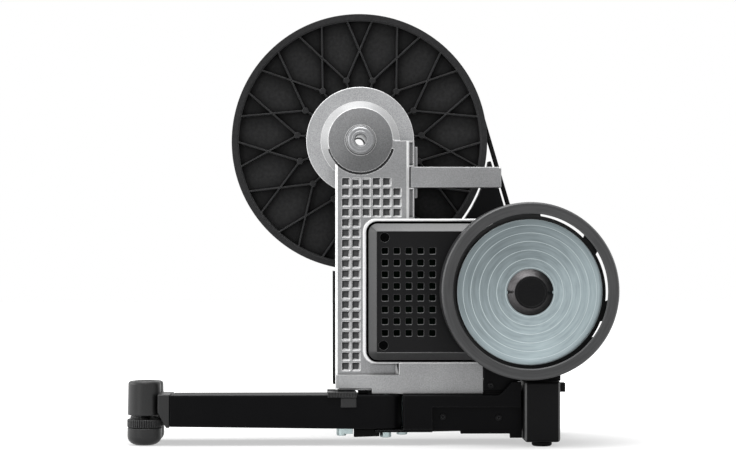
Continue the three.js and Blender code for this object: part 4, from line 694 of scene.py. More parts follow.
def sprocket_outline(teeth):
    """Sprocket teeth with round roots and blunt tips."""
    shares = [(-0.30, -3.6), (-0.12, -3.9), (0.12, -3.9), (0.30, -3.6), (0.40, 0.6), (0.455, 2.9),
              (0.545, 2.9), (0.60, 0.6)]
    points = []
    for tooth in range(teeth):
        for share, height in shares:
            points.append(polar(pitch_radius(teeth) + height, (tooth + share) * 2 * pi / teeth))
    return [Vector((HUB.x + p.x, HUB.z + p.y)) for p in points]


def drive_side():
    low, high = span("cassette")
    teeth = [28, 24, 21, 19, 17, 15, 13, 11]
    spacing, thickness, bore = 5.2, 1.8, 17.3
    shape = Shape()
    for i, count in enumerate(teeth):
        y = low.y + i * spacing
        holes = [ring(HUB.x, HUB.z, bore + 0.6, 48)]
        if count > 20:
            holes += windows(count)
        shape.plate(sprocket_outline(count), holes, y, y + thickness, edge=0.3)
    shape.lathe(rounded(oblong(bore, bore + 2.5, low.y, high.y - 1), 0.4), HUB_AT)
    piece("cassette_sprockets", shape, "freehub", turned_metal, ["cassette"],
          centre=HUB_AT)

    low, high = span("cassette_lock_ring")
    outer, inner = (high - low).x / 2, 12.4
    turned_piece("lock_ring", "cassette_lock_ring",
                 [(inner, low.y), (outer, low.y), (outer - 0.6, high.y), (inner, high.y)],
                 HUB_AT, "freehub", "turned_steel", turned_metal, 0.3,
                 swell=lambda angle, along: 1 - 0.012 * (sin(angle * 24) > 0))

    low, high = span("freehub_body")
    flange, flange_thickness, spline, bore = (high - low).x / 2, 6.4, 17, 10.3
    turned_piece("freehub_turned", "freehub_body",
                 [(bore, low.y), (flange, low.y), (flange, low.y + flange_thickness),
                  (spline, low.y + flange_thickness), (spline, high.y), (bore, high.y)],
                 HUB_AT, "freehub", "turned_steel", turned_metal, 0.6)


def windows(teeth):
    """Round lightening holes in a large sprocket."""
    count, radius = 8, 5.2
    at = pitch_radius(teeth) - 12.5
    holes = []
    for i in range(count):
        angle = 2 * pi * (i + 0.5) / count
        centre = polar(at, angle)
        holes.append(ring(HUB.x + centre.x, HUB.z + centre.y, min(radius, at - 22), 16))
    return holes if at > 26 else []


def axle_parts():
    low, high = span("hub_axle")
    turned_piece("hub_axle_turned", "hub_axle", oblong(7.5, (high - low).x / 2, low.y, high.y),
                 HUB_AT, "frame", "turned_steel", turned_metal, 0.5)
    for node, way, thickness in (("end_cap_near", 1, 3.2), ("end_cap_far", -1, 4.7)):
        low, high = span(node)
        outer, bore, spigot = (high - low).x / 2, 6.1, 7.2
        face, tail = (low.y, high.y) if way > 0 else (high.y, low.y)
        steps = [(bore, 1.3), (bore + 1.2, 0), (outer * 0.66, 0), (outer * 0.7, 0.5),
                 (outer - 1.6, 0.5), (outer, 1.6), (outer, thickness), (spigot, thickness)]
        profile = [(radius, face + way * depth) for radius, depth in steps]
        turned_piece(node + "_turned", node, profile + [(spigot, tail), (bore, tail)],
                     HUB_AT, "frame", "cast_aluminium", cap_metal, 0.35, 2)


# Flywheel: disc, nut, cap, shaft, pinion and guard

def flywheel_parts():
    low, high = span("flywheel_disc")
    outer = (high - low).x / 2
    bore = 6.3
    step_radii = [26.7, 36.2, 45.7, 55.2, 64.5, 72.9]
    step, slope = 0.42, 0.63
    profile, rings = [(bore, low.y)], set()
    for i, radius in enumerate(step_radii):
        level = low.y + i * step
        rings.add(len(profile))
        profile += [(radius, level), (radius + slope, level + step)]
    level = low.y + len(step_radii) * step
    rings.add(len(profile))
    profile += [(outer - 0.7, level), (outer, level + 0.5), (outer, high.y - 0.5),
                (outer - 0.5, high.y), (bore, high.y)]
    turned_piece("flywheel_turned", "flywheel_disc", profile, WHEEL_AT, "flywheel", "zinc_plate",
                 [zinc_metal, lit_ring_metal], steps=RING_STEPS,
                 finish=lambda band: 1 if band in rings else 0)

    low, high = span("flywheel_nut")
    outer, top = (high - low).x / 2, 18.6
    profile = [(bore, high.y), (outer, high.y), (outer, high.y - 1.6), (top, low.y + 0.6),
               (top - 0.7, low.y), (bore, low.y)]
    notch_half, notch_depth = radians(4), 0.045

    def notched(angle, along):
        near_side = min(abs((angle + pi) % (2 * pi) - pi), abs(angle - pi))
        return 1 - notch_depth if near_side < notch_half and along > low.y + 4 else 1

    turned_piece("flywheel_cone_nut", "flywheel_nut", profile, WHEEL_AT, "flywheel", "dark_steel",
                 dark_metal, 0.4, 2, steps=RING_STEPS, swell=notched)

    low, high = span("flywheel_cap")
    outer, sunk = (high - low).x / 2, 0.35
    profile = [(0, high.y), (outer, high.y), (outer, low.y + 0.9), (outer - 0.9, low.y + 0.1),
               (outer - 2.2, low.y), (outer - 2.5, low.y + sunk), (0, low.y + sunk)]
    turned_piece("flywheel_cap_moulded", "flywheel_cap", profile, WHEEL_AT, "flywheel",
                 "black_plastic", black_plastic, 0.25, 2, closed=False)

    low, high = span("flywheel_shaft")
    turned_piece("flywheel_shaft_turned", "flywheel_shaft",
                 oblong(0, (high - low).z / 2, low.y, high.y), WHEEL_AT, "flywheel",
                 "turned_steel", turned_metal, 0.8, closed=False, steps=SMALL_STEPS)

    low, high = span("belt_pinion")
    profile = [(bore, low.y), *grooved(PINION_TREAD, (high - low).z / 2, low.y, high.y),
               (bore, high.y)]
    turned_piece("belt_pinion_grooved", "belt_pinion", profile, WHEEL_AT, "flywheel",
                 "turned_steel", turned_metal, 0.3, 2, steps=SMALL_STEPS)


def flywheel_guard():
    low, high = span("flywheel_guard")
    centre = middle("flywheel_guard")
    outer = (high - low).x / 2
    at = (centre.x, 0, centre.z)
    lip, wall, floor = 84.3, 2.5, 3.0
    floor_y = high.y - floor
    profile = [(outer - wall, floor_y - 0.2), (outer - wall, low.y + wall + 2.5),
               (outer - wall - 2, low.y + wall + 0.6), (lip + 0.6, low.y + wall + 0.4),
               (lip, low.y + wall - 0.2), (lip, low.y + 1.9), (lip + 1.4, low.y + 0.9),
               (outer - 4, low.y), (outer - 1.6, low.y + 0.4), (outer, low.y + 2.2),
               (outer, high.y), (outer - wall, high.y)]
    shape = lathed(profile, at, 0.8, steps=RING_STEPS)
    slots, first_end, slot_width = 7, radians(29.6), radians(36)
    short_slots = {2: radians(16), slots - 1: radians(13)}
    middle_point = Vector((centre.x, centre.z))
    lean = polar(1, radians(-60))
    (out, out_shift), (inner, inner_shift) = (89.1, 1.2), (85.5, 3.1)
    holes = [ring(centre.x, centre.z, 30, 64)]
    for i in range(slots):
        end = first_end + 2 * pi * i / slots
        start = end - short_slots.get(i, slot_width)
        holes.append(arc(*(middle_point + out_shift * lean), out, start, end, 14)
                     + arc(*(middle_point + inner_shift * lean), inner, end, start, 14))
    edge = ring(centre.x, centre.z, outer - wall + 0.3, RING_STEPS)
    shape.plate(edge, holes, floor_y, high.y, edge=0.4)
    piece("flywheel_guard_moulded", shape, "frame", guard_finish,
          ["flywheel_guard"], centre=at)


# Main casting: arm, hub flange and dome, foot block, and the tray that holds the brake cover

CAST_FRONT, CAST_BACK, CAST_BOTTOM = -57.0, -20.0, 60.6
ARM_LEFT, ARM_RIGHT, ARM_TOP = -27.8, 59.9, HUB.z - 0.6
CHAMFER_LEFT, CHAMFER_RIGHT, CHAMFER_DEPTH = 51.2, 54.2, 3.0
WELL_RIGHT = 58.4
DOME_RADIUS, DOME_FOOT, DOME_RISE = 35.9, 43.8, 13.0
FLANGE_RADIUS, FLANGE_FRONT = 60.2, -40.0
GROOVE_INNER, GROOVE_OUTER, GROOVE_DEPTH = 36.0, 38.2, 2.4
BLOCK_TOP, BLOCK_FRONT, BLOCK_RIGHT = 77.9, -59.5, 136.3
RAMP_RIGHT = 42.6
TRAY_LEFT, TRAY_RADIUS, TRAY_RISE = 2.6, 80.4, 1.2
COVER_LEFT, COVER_BACK, COVER_FRONT = 8.8, -58.5, -71.9
GAP_WIDTH, GAP_DEPTH = 2.3, 3.5
PIT_PITCH = 11.38


def round_ended(left, low, high, corner, corner_steps):
    """An outline straight on the left and round about the flywheel on the right."""
    return (arc(left + corner, low + corner, corner, pi, 1.5 * pi, corner_steps)
            + arc(FLYWHEEL.x, (low + high) / 2, (high - low) / 2, -pi / 2, pi / 2, 40)
            + arc(left + corner, high - corner, corner, pi / 2, pi, corner_steps))


def cover_outline(inset):
    return round_ended(COVER_LEFT + inset, COVER_BOTTOM + inset, COVER_TOP - inset,
                       max(10 - inset, 1), 8)


def pit(shape, x, z, sizes):
    """A square hole from its half widths and corner radii, each at a place along Y."""
    squares = [(y, rounded(oblong(x - half, x + half, z - half, z + half), corner))
               for y, half, corner in sizes]
    shape.stack([[(p.x, y, p.y) for p in square] for y, square in squares])


def well(left, right, low, high, depth, flare=0.45, corner=0.6):
    """A pocket cut into the casting's face, its mouth eased."""
    shape = Shape()
    outline = rounded(oblong(left, right, low, high), corner)
    stations = [(CAST_FRONT - 1, flare + 1), (CAST_FRONT, flare), (CAST_FRONT + flare, 0),
                (CAST_FRONT + depth, 0)]
    shape.sleeve([(y, [offset(outline, out)]) for y, out in stations])
    return shape


def rod(radius, start, end, centre, axis="y", steps=SMALL_STEPS):
    return lathed(oblong(0, radius, start, end), centre, axis=axis, steps=steps)


def block(low, high, edge=0.4):
    shape = Shape()
    shape.box(low, high, edge)
    return shape


def dome_fillet():
    """Fills the corner where the dome's round edge runs into the arm's shoulder."""
    radius = 3.0
    loops = []
    for y, dome, drop in ((-56.99, 35.3, 0.7), (-56.7, 35.7, 0.2), (-56.2, 36.2, 0),
                          (-44.8, 43.3, 0), (-44, 43.7, 0), (-38, 43.7, 0)):
        rise = ARM_TOP - drop + radius - HUB.z
        centre = Vector(((dome + radius) ** 2 - rise ** 2, 0)).x ** 0.5
        towards = atan2(rise, centre)
        curve = arc(HUB.x + centre, HUB.z + rise, radius, towards + pi, 1.5 * pi, 8)
        left, bottom = HUB.x + 20, curve[-1].y - 4
        loop = [tuple(p) for p in curve]
        loop += [(curve[-1].x, bottom), (left, bottom), (left, curve[0].y)]
        loops.append([(x, y, z) for x, z in loop])
    shape = Shape()
    shape.stack(loops)
    return shape


def casting_arm():
    arm = Shape()
    arm.post(rounded([(ARM_LEFT, CAST_BACK), (ARM_LEFT, CAST_FRONT + 2.4),
                      (ARM_LEFT + 2.4, CAST_FRONT), (CHAMFER_LEFT, CAST_FRONT),
                      (CHAMFER_RIGHT, CAST_FRONT + CHAMFER_DEPTH),
                      (ARM_RIGHT, CAST_FRONT + CHAMFER_DEPTH), (ARM_RIGHT, CAST_BACK)], 0.7),
             CAST_BOTTOM, ARM_TOP, 0.5)
    return arm


def casting_bodies():
    """What joins the arm: flange, dome, boss, foot block, tray, side rib and ear. Each stops a
    little short of or past its neighbours' faces, so that no two faces lie in one plane."""
    flange = lathed(oblong(0, FLANGE_RADIUS, FLANGE_FRONT, CAST_BACK - 0.02), HUB_AT, 1.1,
                    closed=False, steps=RING_STEPS)
    dome = lathed([(0, CAST_FRONT - 0.02), (DOME_RADIUS, CAST_FRONT - 0.02),
                   (DOME_FOOT, CAST_FRONT + DOME_RISE), (DOME_FOOT, -30), (0, -30)],
                  HUB_AT, 0.8, closed=False, steps=RING_STEPS)
    boss = lathed([(0, -61.5), (15.6, -61.5), (17.4, CAST_FRONT + 0.5), (0, CAST_FRONT + 0.5)],
                  HUB_AT, 0.9, closed=False)
    foot = Shape()
    foot.plate(rounded([(ARM_LEFT - 0.02, 62.4), (12.3, 62.4), (12.3, 56.3), (BLOCK_RIGHT, 56.3),
                        (BLOCK_RIGHT, COVER_BOTTOM - 2.4), (RAMP_RIGHT, COVER_BOTTOM - 2.4),
                        (RAMP_RIGHT, BLOCK_TOP), (ARM_LEFT - 0.02, BLOCK_TOP)], 1.4), [],
               BLOCK_FRONT, CAST_BACK - 0.04, 1.0)
    tray = Shape()
    tray.plate(round_ended(TRAY_LEFT, FLYWHEEL.z - TRAY_RADIUS, FLYWHEEL.z + TRAY_RADIUS, 14, 10),
               [], CAST_FRONT - TRAY_RISE, CAST_BACK - 0.06, 1.15)
    side_rib = block((ARM_RIGHT - 0.5, -45, 274), (ARM_RIGHT + 4, CAST_BACK - 0.08, 331), 0.8)
    ear = block((BLOCK_RIGHT - 0.5, -55.7, CAST_BOTTOM + 0.02), (BLOCK_RIGHT + 14, -49.7, 72), 0.6)
    return flange, dome, dome_fillet(), boss, foot, tray, side_rib, ear


def casting_pits():
    """Waffle pits in rows of five, six and two, their walls sloped."""
    pits = Shape()
    for row, columns in enumerate([5] + [6] * 3 + [2] * 15):
        for column in range(columns):
            pit(pits, -16 + column * PIT_PITCH, HUB.z - 46.6 - row * PIT_PITCH,
                [(CAST_FRONT - 0.4, 5.1, 1.4), (CAST_FRONT, 4.7, 1.1), (CAST_FRONT + 0.3, 4.4, 0.9),
                 (CAST_FRONT + 2.6, 2.95, 0.6), (CAST_FRONT + 2.8, 2.6, 0.5)])
    return pits


def casting_groove():
    """The groove under the dome's face, its edges eased."""
    groove = Shape()
    start, end = radians(-164), radians(-15)
    stations = []
    for depth, out in ((-1, 1.4), (0, 0.4), (0.4, 0), (GROOVE_DEPTH, 0)):
        loop = (arc(HUB.x, HUB.z, GROOVE_OUTER + out, start, end, 40)
                + arc(HUB.x, HUB.z, GROOVE_INNER - out, end, start, 40))
        stations.append((CAST_FRONT + depth, [loop]))
    groove.sleeve(stations)
    return groove


def front_cuts(handle_low, handle_high):
    """What is cut away from the front: the block's round end, the ramp beside it, the gap round the
    cover, and the narrow wells and the handle's slot in the arm's right edge."""
    corner = Shape()
    reach = 5.0
    corner.post([Vector((ARM_LEFT - 2, BLOCK_FRONT - 2)),
                 Vector((ARM_LEFT + reach, BLOCK_FRONT - 2))]
                + arc(ARM_LEFT + reach, BLOCK_FRONT + reach, reach, -pi / 2, -pi, 8)
                + [Vector((ARM_LEFT - 2, BLOCK_FRONT + reach))], 50, BLOCK_TOP, 0)
    ramp_cut = Shape()
    ramp_cut.post(rounded([(10, BLOCK_FRONT - 2), (10, CAST_FRONT),
                           (RAMP_RIGHT - 3, CAST_FRONT + 7), (RAMP_RIGHT, CAST_FRONT + 1),
                           (RAMP_RIGHT, BLOCK_FRONT - 2)], 0.5),
                  BLOCK_TOP, FLYWHEEL.z - TRAY_RADIUS + 0.2, 0.3)
    rim_gap = Shape()
    outer, inner = cover_outline(-GAP_WIDTH), cover_outline(1.4)
    rim_gap.sleeve([(CAST_FRONT + depth, [offset(outer, out), inner]) for depth, out in
                    ((-2.2, 1.9), (-1.2, 0.9), (-0.95, 0.4), (-0.4, 0), (GAP_DEPTH, 0))])
    return (
        corner, ramp_cut, rim_gap,
        well(CHAMFER_RIGHT, WELL_RIGHT, handle_high + 1.5, ARM_TOP - 1.5, 7),
        well(CHAMFER_RIGHT, WELL_RIGHT, FLYWHEEL.z + TRAY_RADIUS + 1.5, handle_low - 1.5, 7),
        block((CHAMFER_RIGHT, CAST_FRONT - 1, handle_low - 0.3),
              (ARM_RIGHT + 1, CAST_FRONT + 7, handle_high + 0.3), 0),
        block((ARM_RIGHT - 0.3, -46, handle_low - 0.3),
              (ARM_RIGHT + 5, CAST_BACK + 1, handle_high + 0.3), 0),
        block((11.3, CAST_FRONT, 50), (BLOCK_RIGHT + 1, CAST_BACK + 1, CAST_BOTTOM), 0),
    )


def back_steps(handle_low, handle_high):
    """Behind: pockets that keep the walls even, the space for the brake, bores and bolt holes."""
    back, wall = CAST_BACK + 1, 4
    pockets, low = [], 66
    while low + 45 < HUB.z - 50:
        pockets.append(block((ARM_LEFT + wall, CAST_FRONT + 5.5, low),
                             (COVER_LEFT, back, low + 41), 0.8))
        low += 45
    pockets.append(block((COVER_LEFT + wall, CAST_FRONT + 5.5, FLYWHEEL.z + TRAY_RADIUS + wall),
                         (50.2, back, HUB.z - 54.3), 0.8))
    pitch = (BLOCK_RIGHT - COVER_LEFT) / 4
    for i in range(4):
        left = COVER_LEFT + wall + i * pitch
        pockets.append(block((left, CAST_FRONT + 7.5, 66), (left + pitch - wall, back, 86), 0.8))
    hollow = Shape()
    hollow.plate(cover_outline(4), [], CAST_FRONT - 3, -26, 0)
    pockets += [hollow, lathed(oblong(24, 54, -35, back), HUB_AT)]
    steps = [("DIFFERENCE", pocket) for pocket in pockets]
    bolt_at = (47.1, -30.35, 0)
    steps += [
        ("UNION", rod(20, -44, -21, WHEEL_AT)),
        ("UNION", rod(8, CAST_BOTTOM + 0.5, 86.5, bolt_at, "z")),
        ("DIFFERENCE", rod(14.3, -46, back, WHEEL_AT)),
        ("DIFFERENCE", rod(10.3, -63, back, HUB_AT)),
        ("DIFFERENCE", rod(4.3, CAST_BOTTOM - 1, CAST_BOTTOM + 16, bolt_at, "z")),
        ("DIFFERENCE", rod(2.1, -60, -48, (144.5, 0, 65.9))),
    ]
    for x in (28, 78):
        for z in (COVER_BOTTOM + 20, COVER_TOP - 19.4):
            steps.append(("UNION", rod(3.5, -40, -25, (x, 0, z), steps=16)))
    for z in (handle_low + 6.5, handle_high - 6.5):
        steps.append(("DIFFERENCE", rod(2.8, 49, ARM_RIGHT + 1, (0, -36, z), "x", 16)))
        steps.append(("DIFFERENCE", rod(4.8, 45.6, 50.2, (0, -36, z), "x", 16)))
    return steps


# LIT and SLOPE hold painted highlights, RECESS_SHADE and GAP painted shade, and DOME and BLOCK a
# painted shade gradient.
PLAIN, LIT, RECESS_SHADE, FLANGE, DOME, BLOCK, GAP, SLOPE = range(8)


def casting_finish(normal, centre):
    """Which finish a face of the casting gets, from how it lies and where it is. The pale and dark
    copies of the metal are painted highlights and painted shade.
    """
    x, z = centre.x, centre.z
    reach = (Vector((x, z)) - HUB_XZ).length
    depth = centre.y - CAST_FRONT
    facing = -normal.y
    if CHAMFER_LEFT - 0.2 < x < CHAMFER_RIGHT + 0.2 and depth < CHAMFER_DEPTH + 0.1:
        if 0.3 < normal.x < 0.98:
            return LIT
    if DOME_RADIUS - 0.9 < reach < DOME_FOOT + 0.7 and centre.y < FLANGE_FRONT:
        beside_arm = x < 36 or z > ARM_TOP
        on_groove = z < HUB.z - 9 and depth < GROOVE_DEPTH + 0.1 and reach < GROOVE_OUTER + 0.8
        if beside_arm and not on_groove and facing < 0.97:
            on_slope = DOME_RADIUS + 0.7 < reach < DOME_FOOT - 0.6 and facing > 0.4
            return SLOPE if on_slope else LIT
    if FLANGE_RADIUS - 1.2 < reach < FLANGE_RADIUS + 0.3 and facing < 0.97:
        if FLANGE_FRONT - 1 < centre.y < FLANGE_FRONT + 1.4:
            return LIT
    # The gap round the cover takes painted shade.
    near_cover = x > 6 and COVER_BOTTOM - 2.6 < z < COVER_TOP + 2.6
    if near_cover and -0.3 < depth < GAP_DEPTH + 0.2:
        if facing < 0.3 or facing > 0.97 and depth > GAP_DEPTH - 0.2:
            return GAP
    if 0.2 < depth < 2.7 and x < 56:
        in_groove = GROOVE_INNER - 1 < reach < GROOVE_OUTER + 1.3
        if in_groove:
            return RECESS_SHADE
        # Pit walls facing up or left take a painted highlight, the others painted shade.
        if facing < 0.97:
            return LIT if normal.x < -0.3 or normal.z > 0.3 else RECESS_SHADE
    if 2.3 < depth < 3 and x < 53 and z > 84:
        return RECESS_SHADE
    if -1.4 < depth < -0.1 and z > BLOCK_TOP + 3 and reach > 50:
        return LIT
    if normal.x < -0.4 and abs(x - 41) < 2 and BLOCK_TOP < z < 92:
        return LIT
    if reach < FLANGE_RADIUS + 0.8 and depth > DOME_RISE and centre.y < FLANGE_FRONT + 2:
        return FLANGE
    if reach < GROOVE_INNER and abs(depth) < 0.1 and z > HUB.z - GROOVE_INNER:
        return DOME
    if z < COVER_BOTTOM and centre.y < BLOCK_FRONT + 0.1:
        return BLOCK
    return PLAIN


def main_casting():
    handle_low, handle_high = span("carry_handle")[0].z, span("carry_handle")[1].z
    steps = [("UNION", shape) for shape in casting_bodies()]
    steps += [("DIFFERENCE", shape) for shape in
              (casting_pits(), casting_groove(), *front_cuts(handle_low, handle_high))]
    steps += back_steps(handle_low, handle_high)
    carved("main_casting_blasted", casting_arm(), steps, "frame",
           [cast_metal, highlight_metal, shaded_recess_metal, flange_metal, dome_metal, block_metal, shade_black,
            lit_slope_metal],
           ["main_casting"], casting_finish)


# Brake cover: sloped border, sunk face, square vents with eased mouths and two screw recesses

def brake_cover():
    outside = [(COVER_BACK, 0), (-62.6, 0), (-63.1, 0.25), (-71.3, 7.85), (-71.65, 8.35),
               (-71.75, 8.7), (-71.3, 9.0), (-71.25, 9.3)]
    shell = Shape()
    shell.sleeve([(y, [cover_outline(inset)]) for y, inset in outside])
    inside = Shape()
    inside.sleeve([(y, [cover_outline(inset)]) for y, inset in
                   ((COVER_BACK + 1, 3), (-62.9, 3), (-68.9, 9.3))])
    steps = [("DIFFERENCE", inside)]
    screws = [(26.4, COVER_TOP - 15.4), (25, COVER_BOTTOM + 16.6)]
    for x, z in screws:
        steps.append(("UNION", rod(7.2, -70, COVER_BACK, (x, 0, z))))
    vents = Shape()
    face = COVER_FRONT + 0.65
    for row in range(8):
        for column in range(5):
            pit(vents, 26.6 + column * 13.1, COVER_TOP - 30.2 - row * 12.93,
                [(face - 1, 5.0, 2.0), (face, 4.0, 1.6), (face + 0.35, 3.65, 1.3),
                 (face + 1.0, 3.3, 1.1), (face + 4, 3.1, 1.0)])
    steps.append(("DIFFERENCE", vents))
    for x, z in screws:
        recess = lathed([(0, face - 1), (5.9, face - 1), (5.4, face), (5.2, face + 0.3),
                         (5.2, face + 3.4), (0, face + 3.4)], (x, 0, z), steps=SMALL_STEPS)
        steps.append(("DIFFERENCE", recess))
        steps.append(("DIFFERENCE", rod(2.1, -71, COVER_BACK + 1, (x, 0, z), steps=16)))
    steps.append(("DIFFERENCE", rod(16, -74, COVER_BACK - 0.5, WHEEL_AT)))

    def border(normal, centre):
        # Sloped border faces take the bezel finish, and those facing up take bezel_lit, a painted
        # highlight.
        sloped = 0.3 < -normal.y < 0.97 and -72 < centre.y < -62.5
        return (2 if normal.z > 0.5 else 1) if sloped else 0

    carved("brake_cover_moulded", shell, steps, "frame",
           [cover_plastic, bezel_finish, bezel_lit], ["brake_cover"], border)


# Belt with lengthwise ribs

def drive_belt():
    low, high = span("drive_belt")
    clear, thick, valley = 0.3, 3.6, 1.7
    turn = atan2(FLYWHEEL.z - HUB.z, FLYWHEEL.x - HUB.x)
    apart = hypot(FLYWHEEL.z - HUB.z, FLYWHEEL.x - HUB.x)
    wrap = acos((PULLEY_TREAD - PINION_TREAD) / apart)
    path = []
    for i in range(121):
        angle = turn + wrap + (2 * pi - 2 * wrap) * i / 120
        path.append((HUB.x, HUB.z, PULLEY_TREAD, angle))
    for i in range(25):
        angle = turn - wrap + 2 * wrap * i / 24
        path.append((FLYWHEEL.x, FLYWHEEL.z, PINION_TREAD, angle))
    outer = clear + thick
    section = [(outer, low.y + 0.4), (outer - 0.4, low.y), (clear + 0.6, low.y),
               (clear, low.y + 0.4)]
    y = low.y + 1.0
    while y + BELT_PITCH < high.y - 0.8:
        section += [(clear, y), (clear + valley, y + BELT_PITCH / 2)]
        y += BELT_PITCH
    section += [(clear, y), (clear, high.y - 0.4), (clear + 0.6, high.y), (outer - 0.4, high.y),
                (outer, high.y - 0.4)]
    loops = []
    for x, z, radius, angle in path:
        loops.append([(x + (radius + out) * cos(angle), y, z + (radius + out) * sin(angle))
                      for out, y in section])
    shape = Shape()
    shape.stack(loops, closed=True)
    piece("drive_belt_ribbed", shape, "frame", belt_rubber, ["drive_belt"])


# Legs: foot holder, screw foot, knurled wheel

def leg_pieces(side):
    body = "leg_" + side
    holder = "foot_holder_" + side
    low, high = span(holder)
    foot_low, foot_high = span("screw_foot_" + side)
    foot = (foot_low + foot_high) / 2
    drop = high.z - 70.9
    x, y = foot.x, foot.y
    cup_radius, cup_top_radius, cup_bottom = 18.7, 18, 33.5 + drop
    shape = Shape()
    profile = [(0, cup_bottom + 24), (5.3, cup_bottom + 24), (5.3, cup_bottom + 8),
               (5.3, cup_bottom + 1), (cup_radius - 2.6, cup_bottom + 1),
               (cup_radius - 2.2, cup_bottom), (cup_radius, cup_bottom),
               (cup_top_radius, high.z - 3), (cup_top_radius - 0.8, high.z - 1),
               (cup_top_radius - 2.6, high.z), (cup_top_radius - 5, high.z - 0.2),
               (cup_top_radius - 6.5, high.z - 1.1), (0, high.z - 1.3)]
    loops = rounded(profile, 1.1, 4, closed=False)
    shape.lathe([(max(p.x, 0), p.y) for p in loops], (x, y, 0), axis="z")
    sleeve_left, sleeve_right = -223.9, -210.7
    top, bottom, shoulder, toe = 57 + drop, 20.2 + drop, 37 + drop, -214.5
    half = (high - low).y / 2
    outline = rounded([(sleeve_left, shoulder), (toe, bottom), (sleeve_right, bottom),
                       (sleeve_right, top), (sleeve_left, top)], 1.2)
    shape.plate(outline, [], y - half, y + half, edge=1.6)
    shape.box((x, y - cup_radius / 2, shoulder),
              (sleeve_left + 1, y + cup_radius / 2, top - 1), 0.8)
    piece(holder + "_moulded", shape, body, grey_plastic, [holder])

    low, high = foot_low, foot_high
    flat, wide, shoulder_z, core, stem, stem_bottom = 7, 19, 19.5, 12, 5, 29
    profile = [(0, 0), (flat, 0)]
    for i in range(1, 7):
        angle = pi / 2 * i / 6
        profile.append((flat + (wide - flat) * sin(angle), 10 * (1 - cos(angle))))
    profile += [(wide, shoulder_z - 0.8), (wide - 0.8, shoulder_z), (core, shoulder_z),
                (core, stem_bottom), (stem, stem_bottom)]
    z = stem_bottom
    while z + 1.5 < high.z - 1:
        profile += [(stem, z + 0.4), (stem - 0.7, z + 1.1)]
        z += 1.5
    profile += [(stem - 0.7, high.z), (0, high.z)]
    piece("screw_foot_turned_" + side, lathed(profile, (x, y, 0), axis="z"), "foot_" + side,
          grey_plastic, ["screw_foot_" + side])

    low, high = span("foot_wheel_" + side)
    grip, bore, knurls = (high - low).x / 2, 12.3, 46
    profile = [(bore, low.z), (grip - 0.8, low.z), (grip, low.z + 0.8), (grip, high.z - 1.0),
               (grip - 1.0, high.z), (bore, high.z)]

    def knurled(angle, along):
        if along > high.z - 0.5:
            return 1
        wave = abs(((angle * knurls / (2 * pi)) % 1) - 0.5) * 2
        return 1 - 0.055 * max(0, min(1, wave * 2.4 - 1.1))

    shape = lathed(profile, (x, y, 0), 0.5, 2, axis="z", steps=knurls * 8, swell=knurled)
    piece("foot_wheel_knurled_" + side, shape, "wheel_" + side, grip_plastic,
          ["foot_wheel_" + side])


# Bolts and screws

def hex_bolts():
    """Hexagon nuts under the frame in place of the plain ones, each on its shank."""
    for node, across, nut_height, shank in (("pivot_bolt_near", 10.9, 6.7, 5),
                                            ("pivot_bolt_far", 11.5, 3.4, 5),
                                            ("frame_bolt", 10.5, 2.6, 4)):
        low, high = span(node)
        centre = (low + high) / 2
        radius = across / 2 / cos(pi / 6)
        levels = [(radius * 0.9, low.z), (radius, low.z + 0.6), (radius, low.z + nut_height)]
        shape = Shape()
        shape.stack([[(centre.x + r * cos(pi / 3 * k), centre.y + r * sin(pi / 3 * k), z)
                      for k in range(6)] for r, z in levels])
        shape.lathe(oblong(0, shank, low.z + 0.3, high.z), (centre.x, centre.y, 0), axis="z",
                    steps=SMALL_STEPS)
        piece(node + "_hex", shape, "frame", bolt_metal, [node])


def socket_screw(node, way, look_used):
    """A cap screw along Y with a hexagon socket, its head at the low end if way is 1."""
    low, high = span(node)
    centre = (low + high) / 2
    head = (high - low).x / 2
    face, tip = (low.y, high.y) if way > 0 else (high.y, low.y)
    height, depth = 2.4, 1.3
    socket, shank = head * 0.5, 1.8
    shape = Shape()
    outer = [(head - 0.5, face), (head, face + way * 0.5), (head, face + way * height),
             (shank, face + way * height), (shank, tip)]
    loops = []
    sides = 36
    for k in range(2):
        y = face + way * (depth if k == 0 else 0)
        loops.append([hex_point(centre, socket, 2 * pi * i / sides, y) for i in range(sides)])
    for radius, y in outer:
        loops.append([(centre.x + radius * cos(2 * pi * i / sides), y,
                       centre.z + radius * sin(2 * pi * i / sides)) for i in range(sides)])
    shape.stack(loops)
    piece(node + "_socket", shape, "frame", look_used, [node])


def hex_point(centre, across, angle, y):
    part = (angle + pi / 6) % (pi / 3) - pi / 6
    radius = across * cos(pi / 6) / cos(part)
    return (centre.x + radius * cos(angle), y, centre.z + radius * sin(angle))


# Finish numbers by how a face lies, for painted highlights

# Faces that look up take a painted highlight.
def lit_upward(normal, centre):
    return 1 if normal.z > 0.35 else 0


# Rounded upright edges take a painted highlight.
def lit_upright_edge(normal, centre):
    return 1 if abs(normal.z) < 0.3 and 0.3 < abs(normal.x) < 0.95 else 0


# Everything in its place

main_casting()
brake_cover()
pulley_wheel()
drive_side()
axle_parts()
flywheel_parts()
flywheel_guard()
drive_belt()
for side in ("near", "far"):
    leg_pieces(side)
hex_bolts()
for node in ("panel_screw_1", "panel_screw_2", "panel_screw_3"):
    socket_screw(node, 1, black_paint)
# The cover screws sit in recesses and take painted shade.
for node in ("cover_screw_1", "cover_screw_2"):
    socket_screw(node, 1, shade_black)
for node in ("drive_cover_screw_1", "drive_cover_screw_2"):
    socket_screw(node, -1, black_paint)

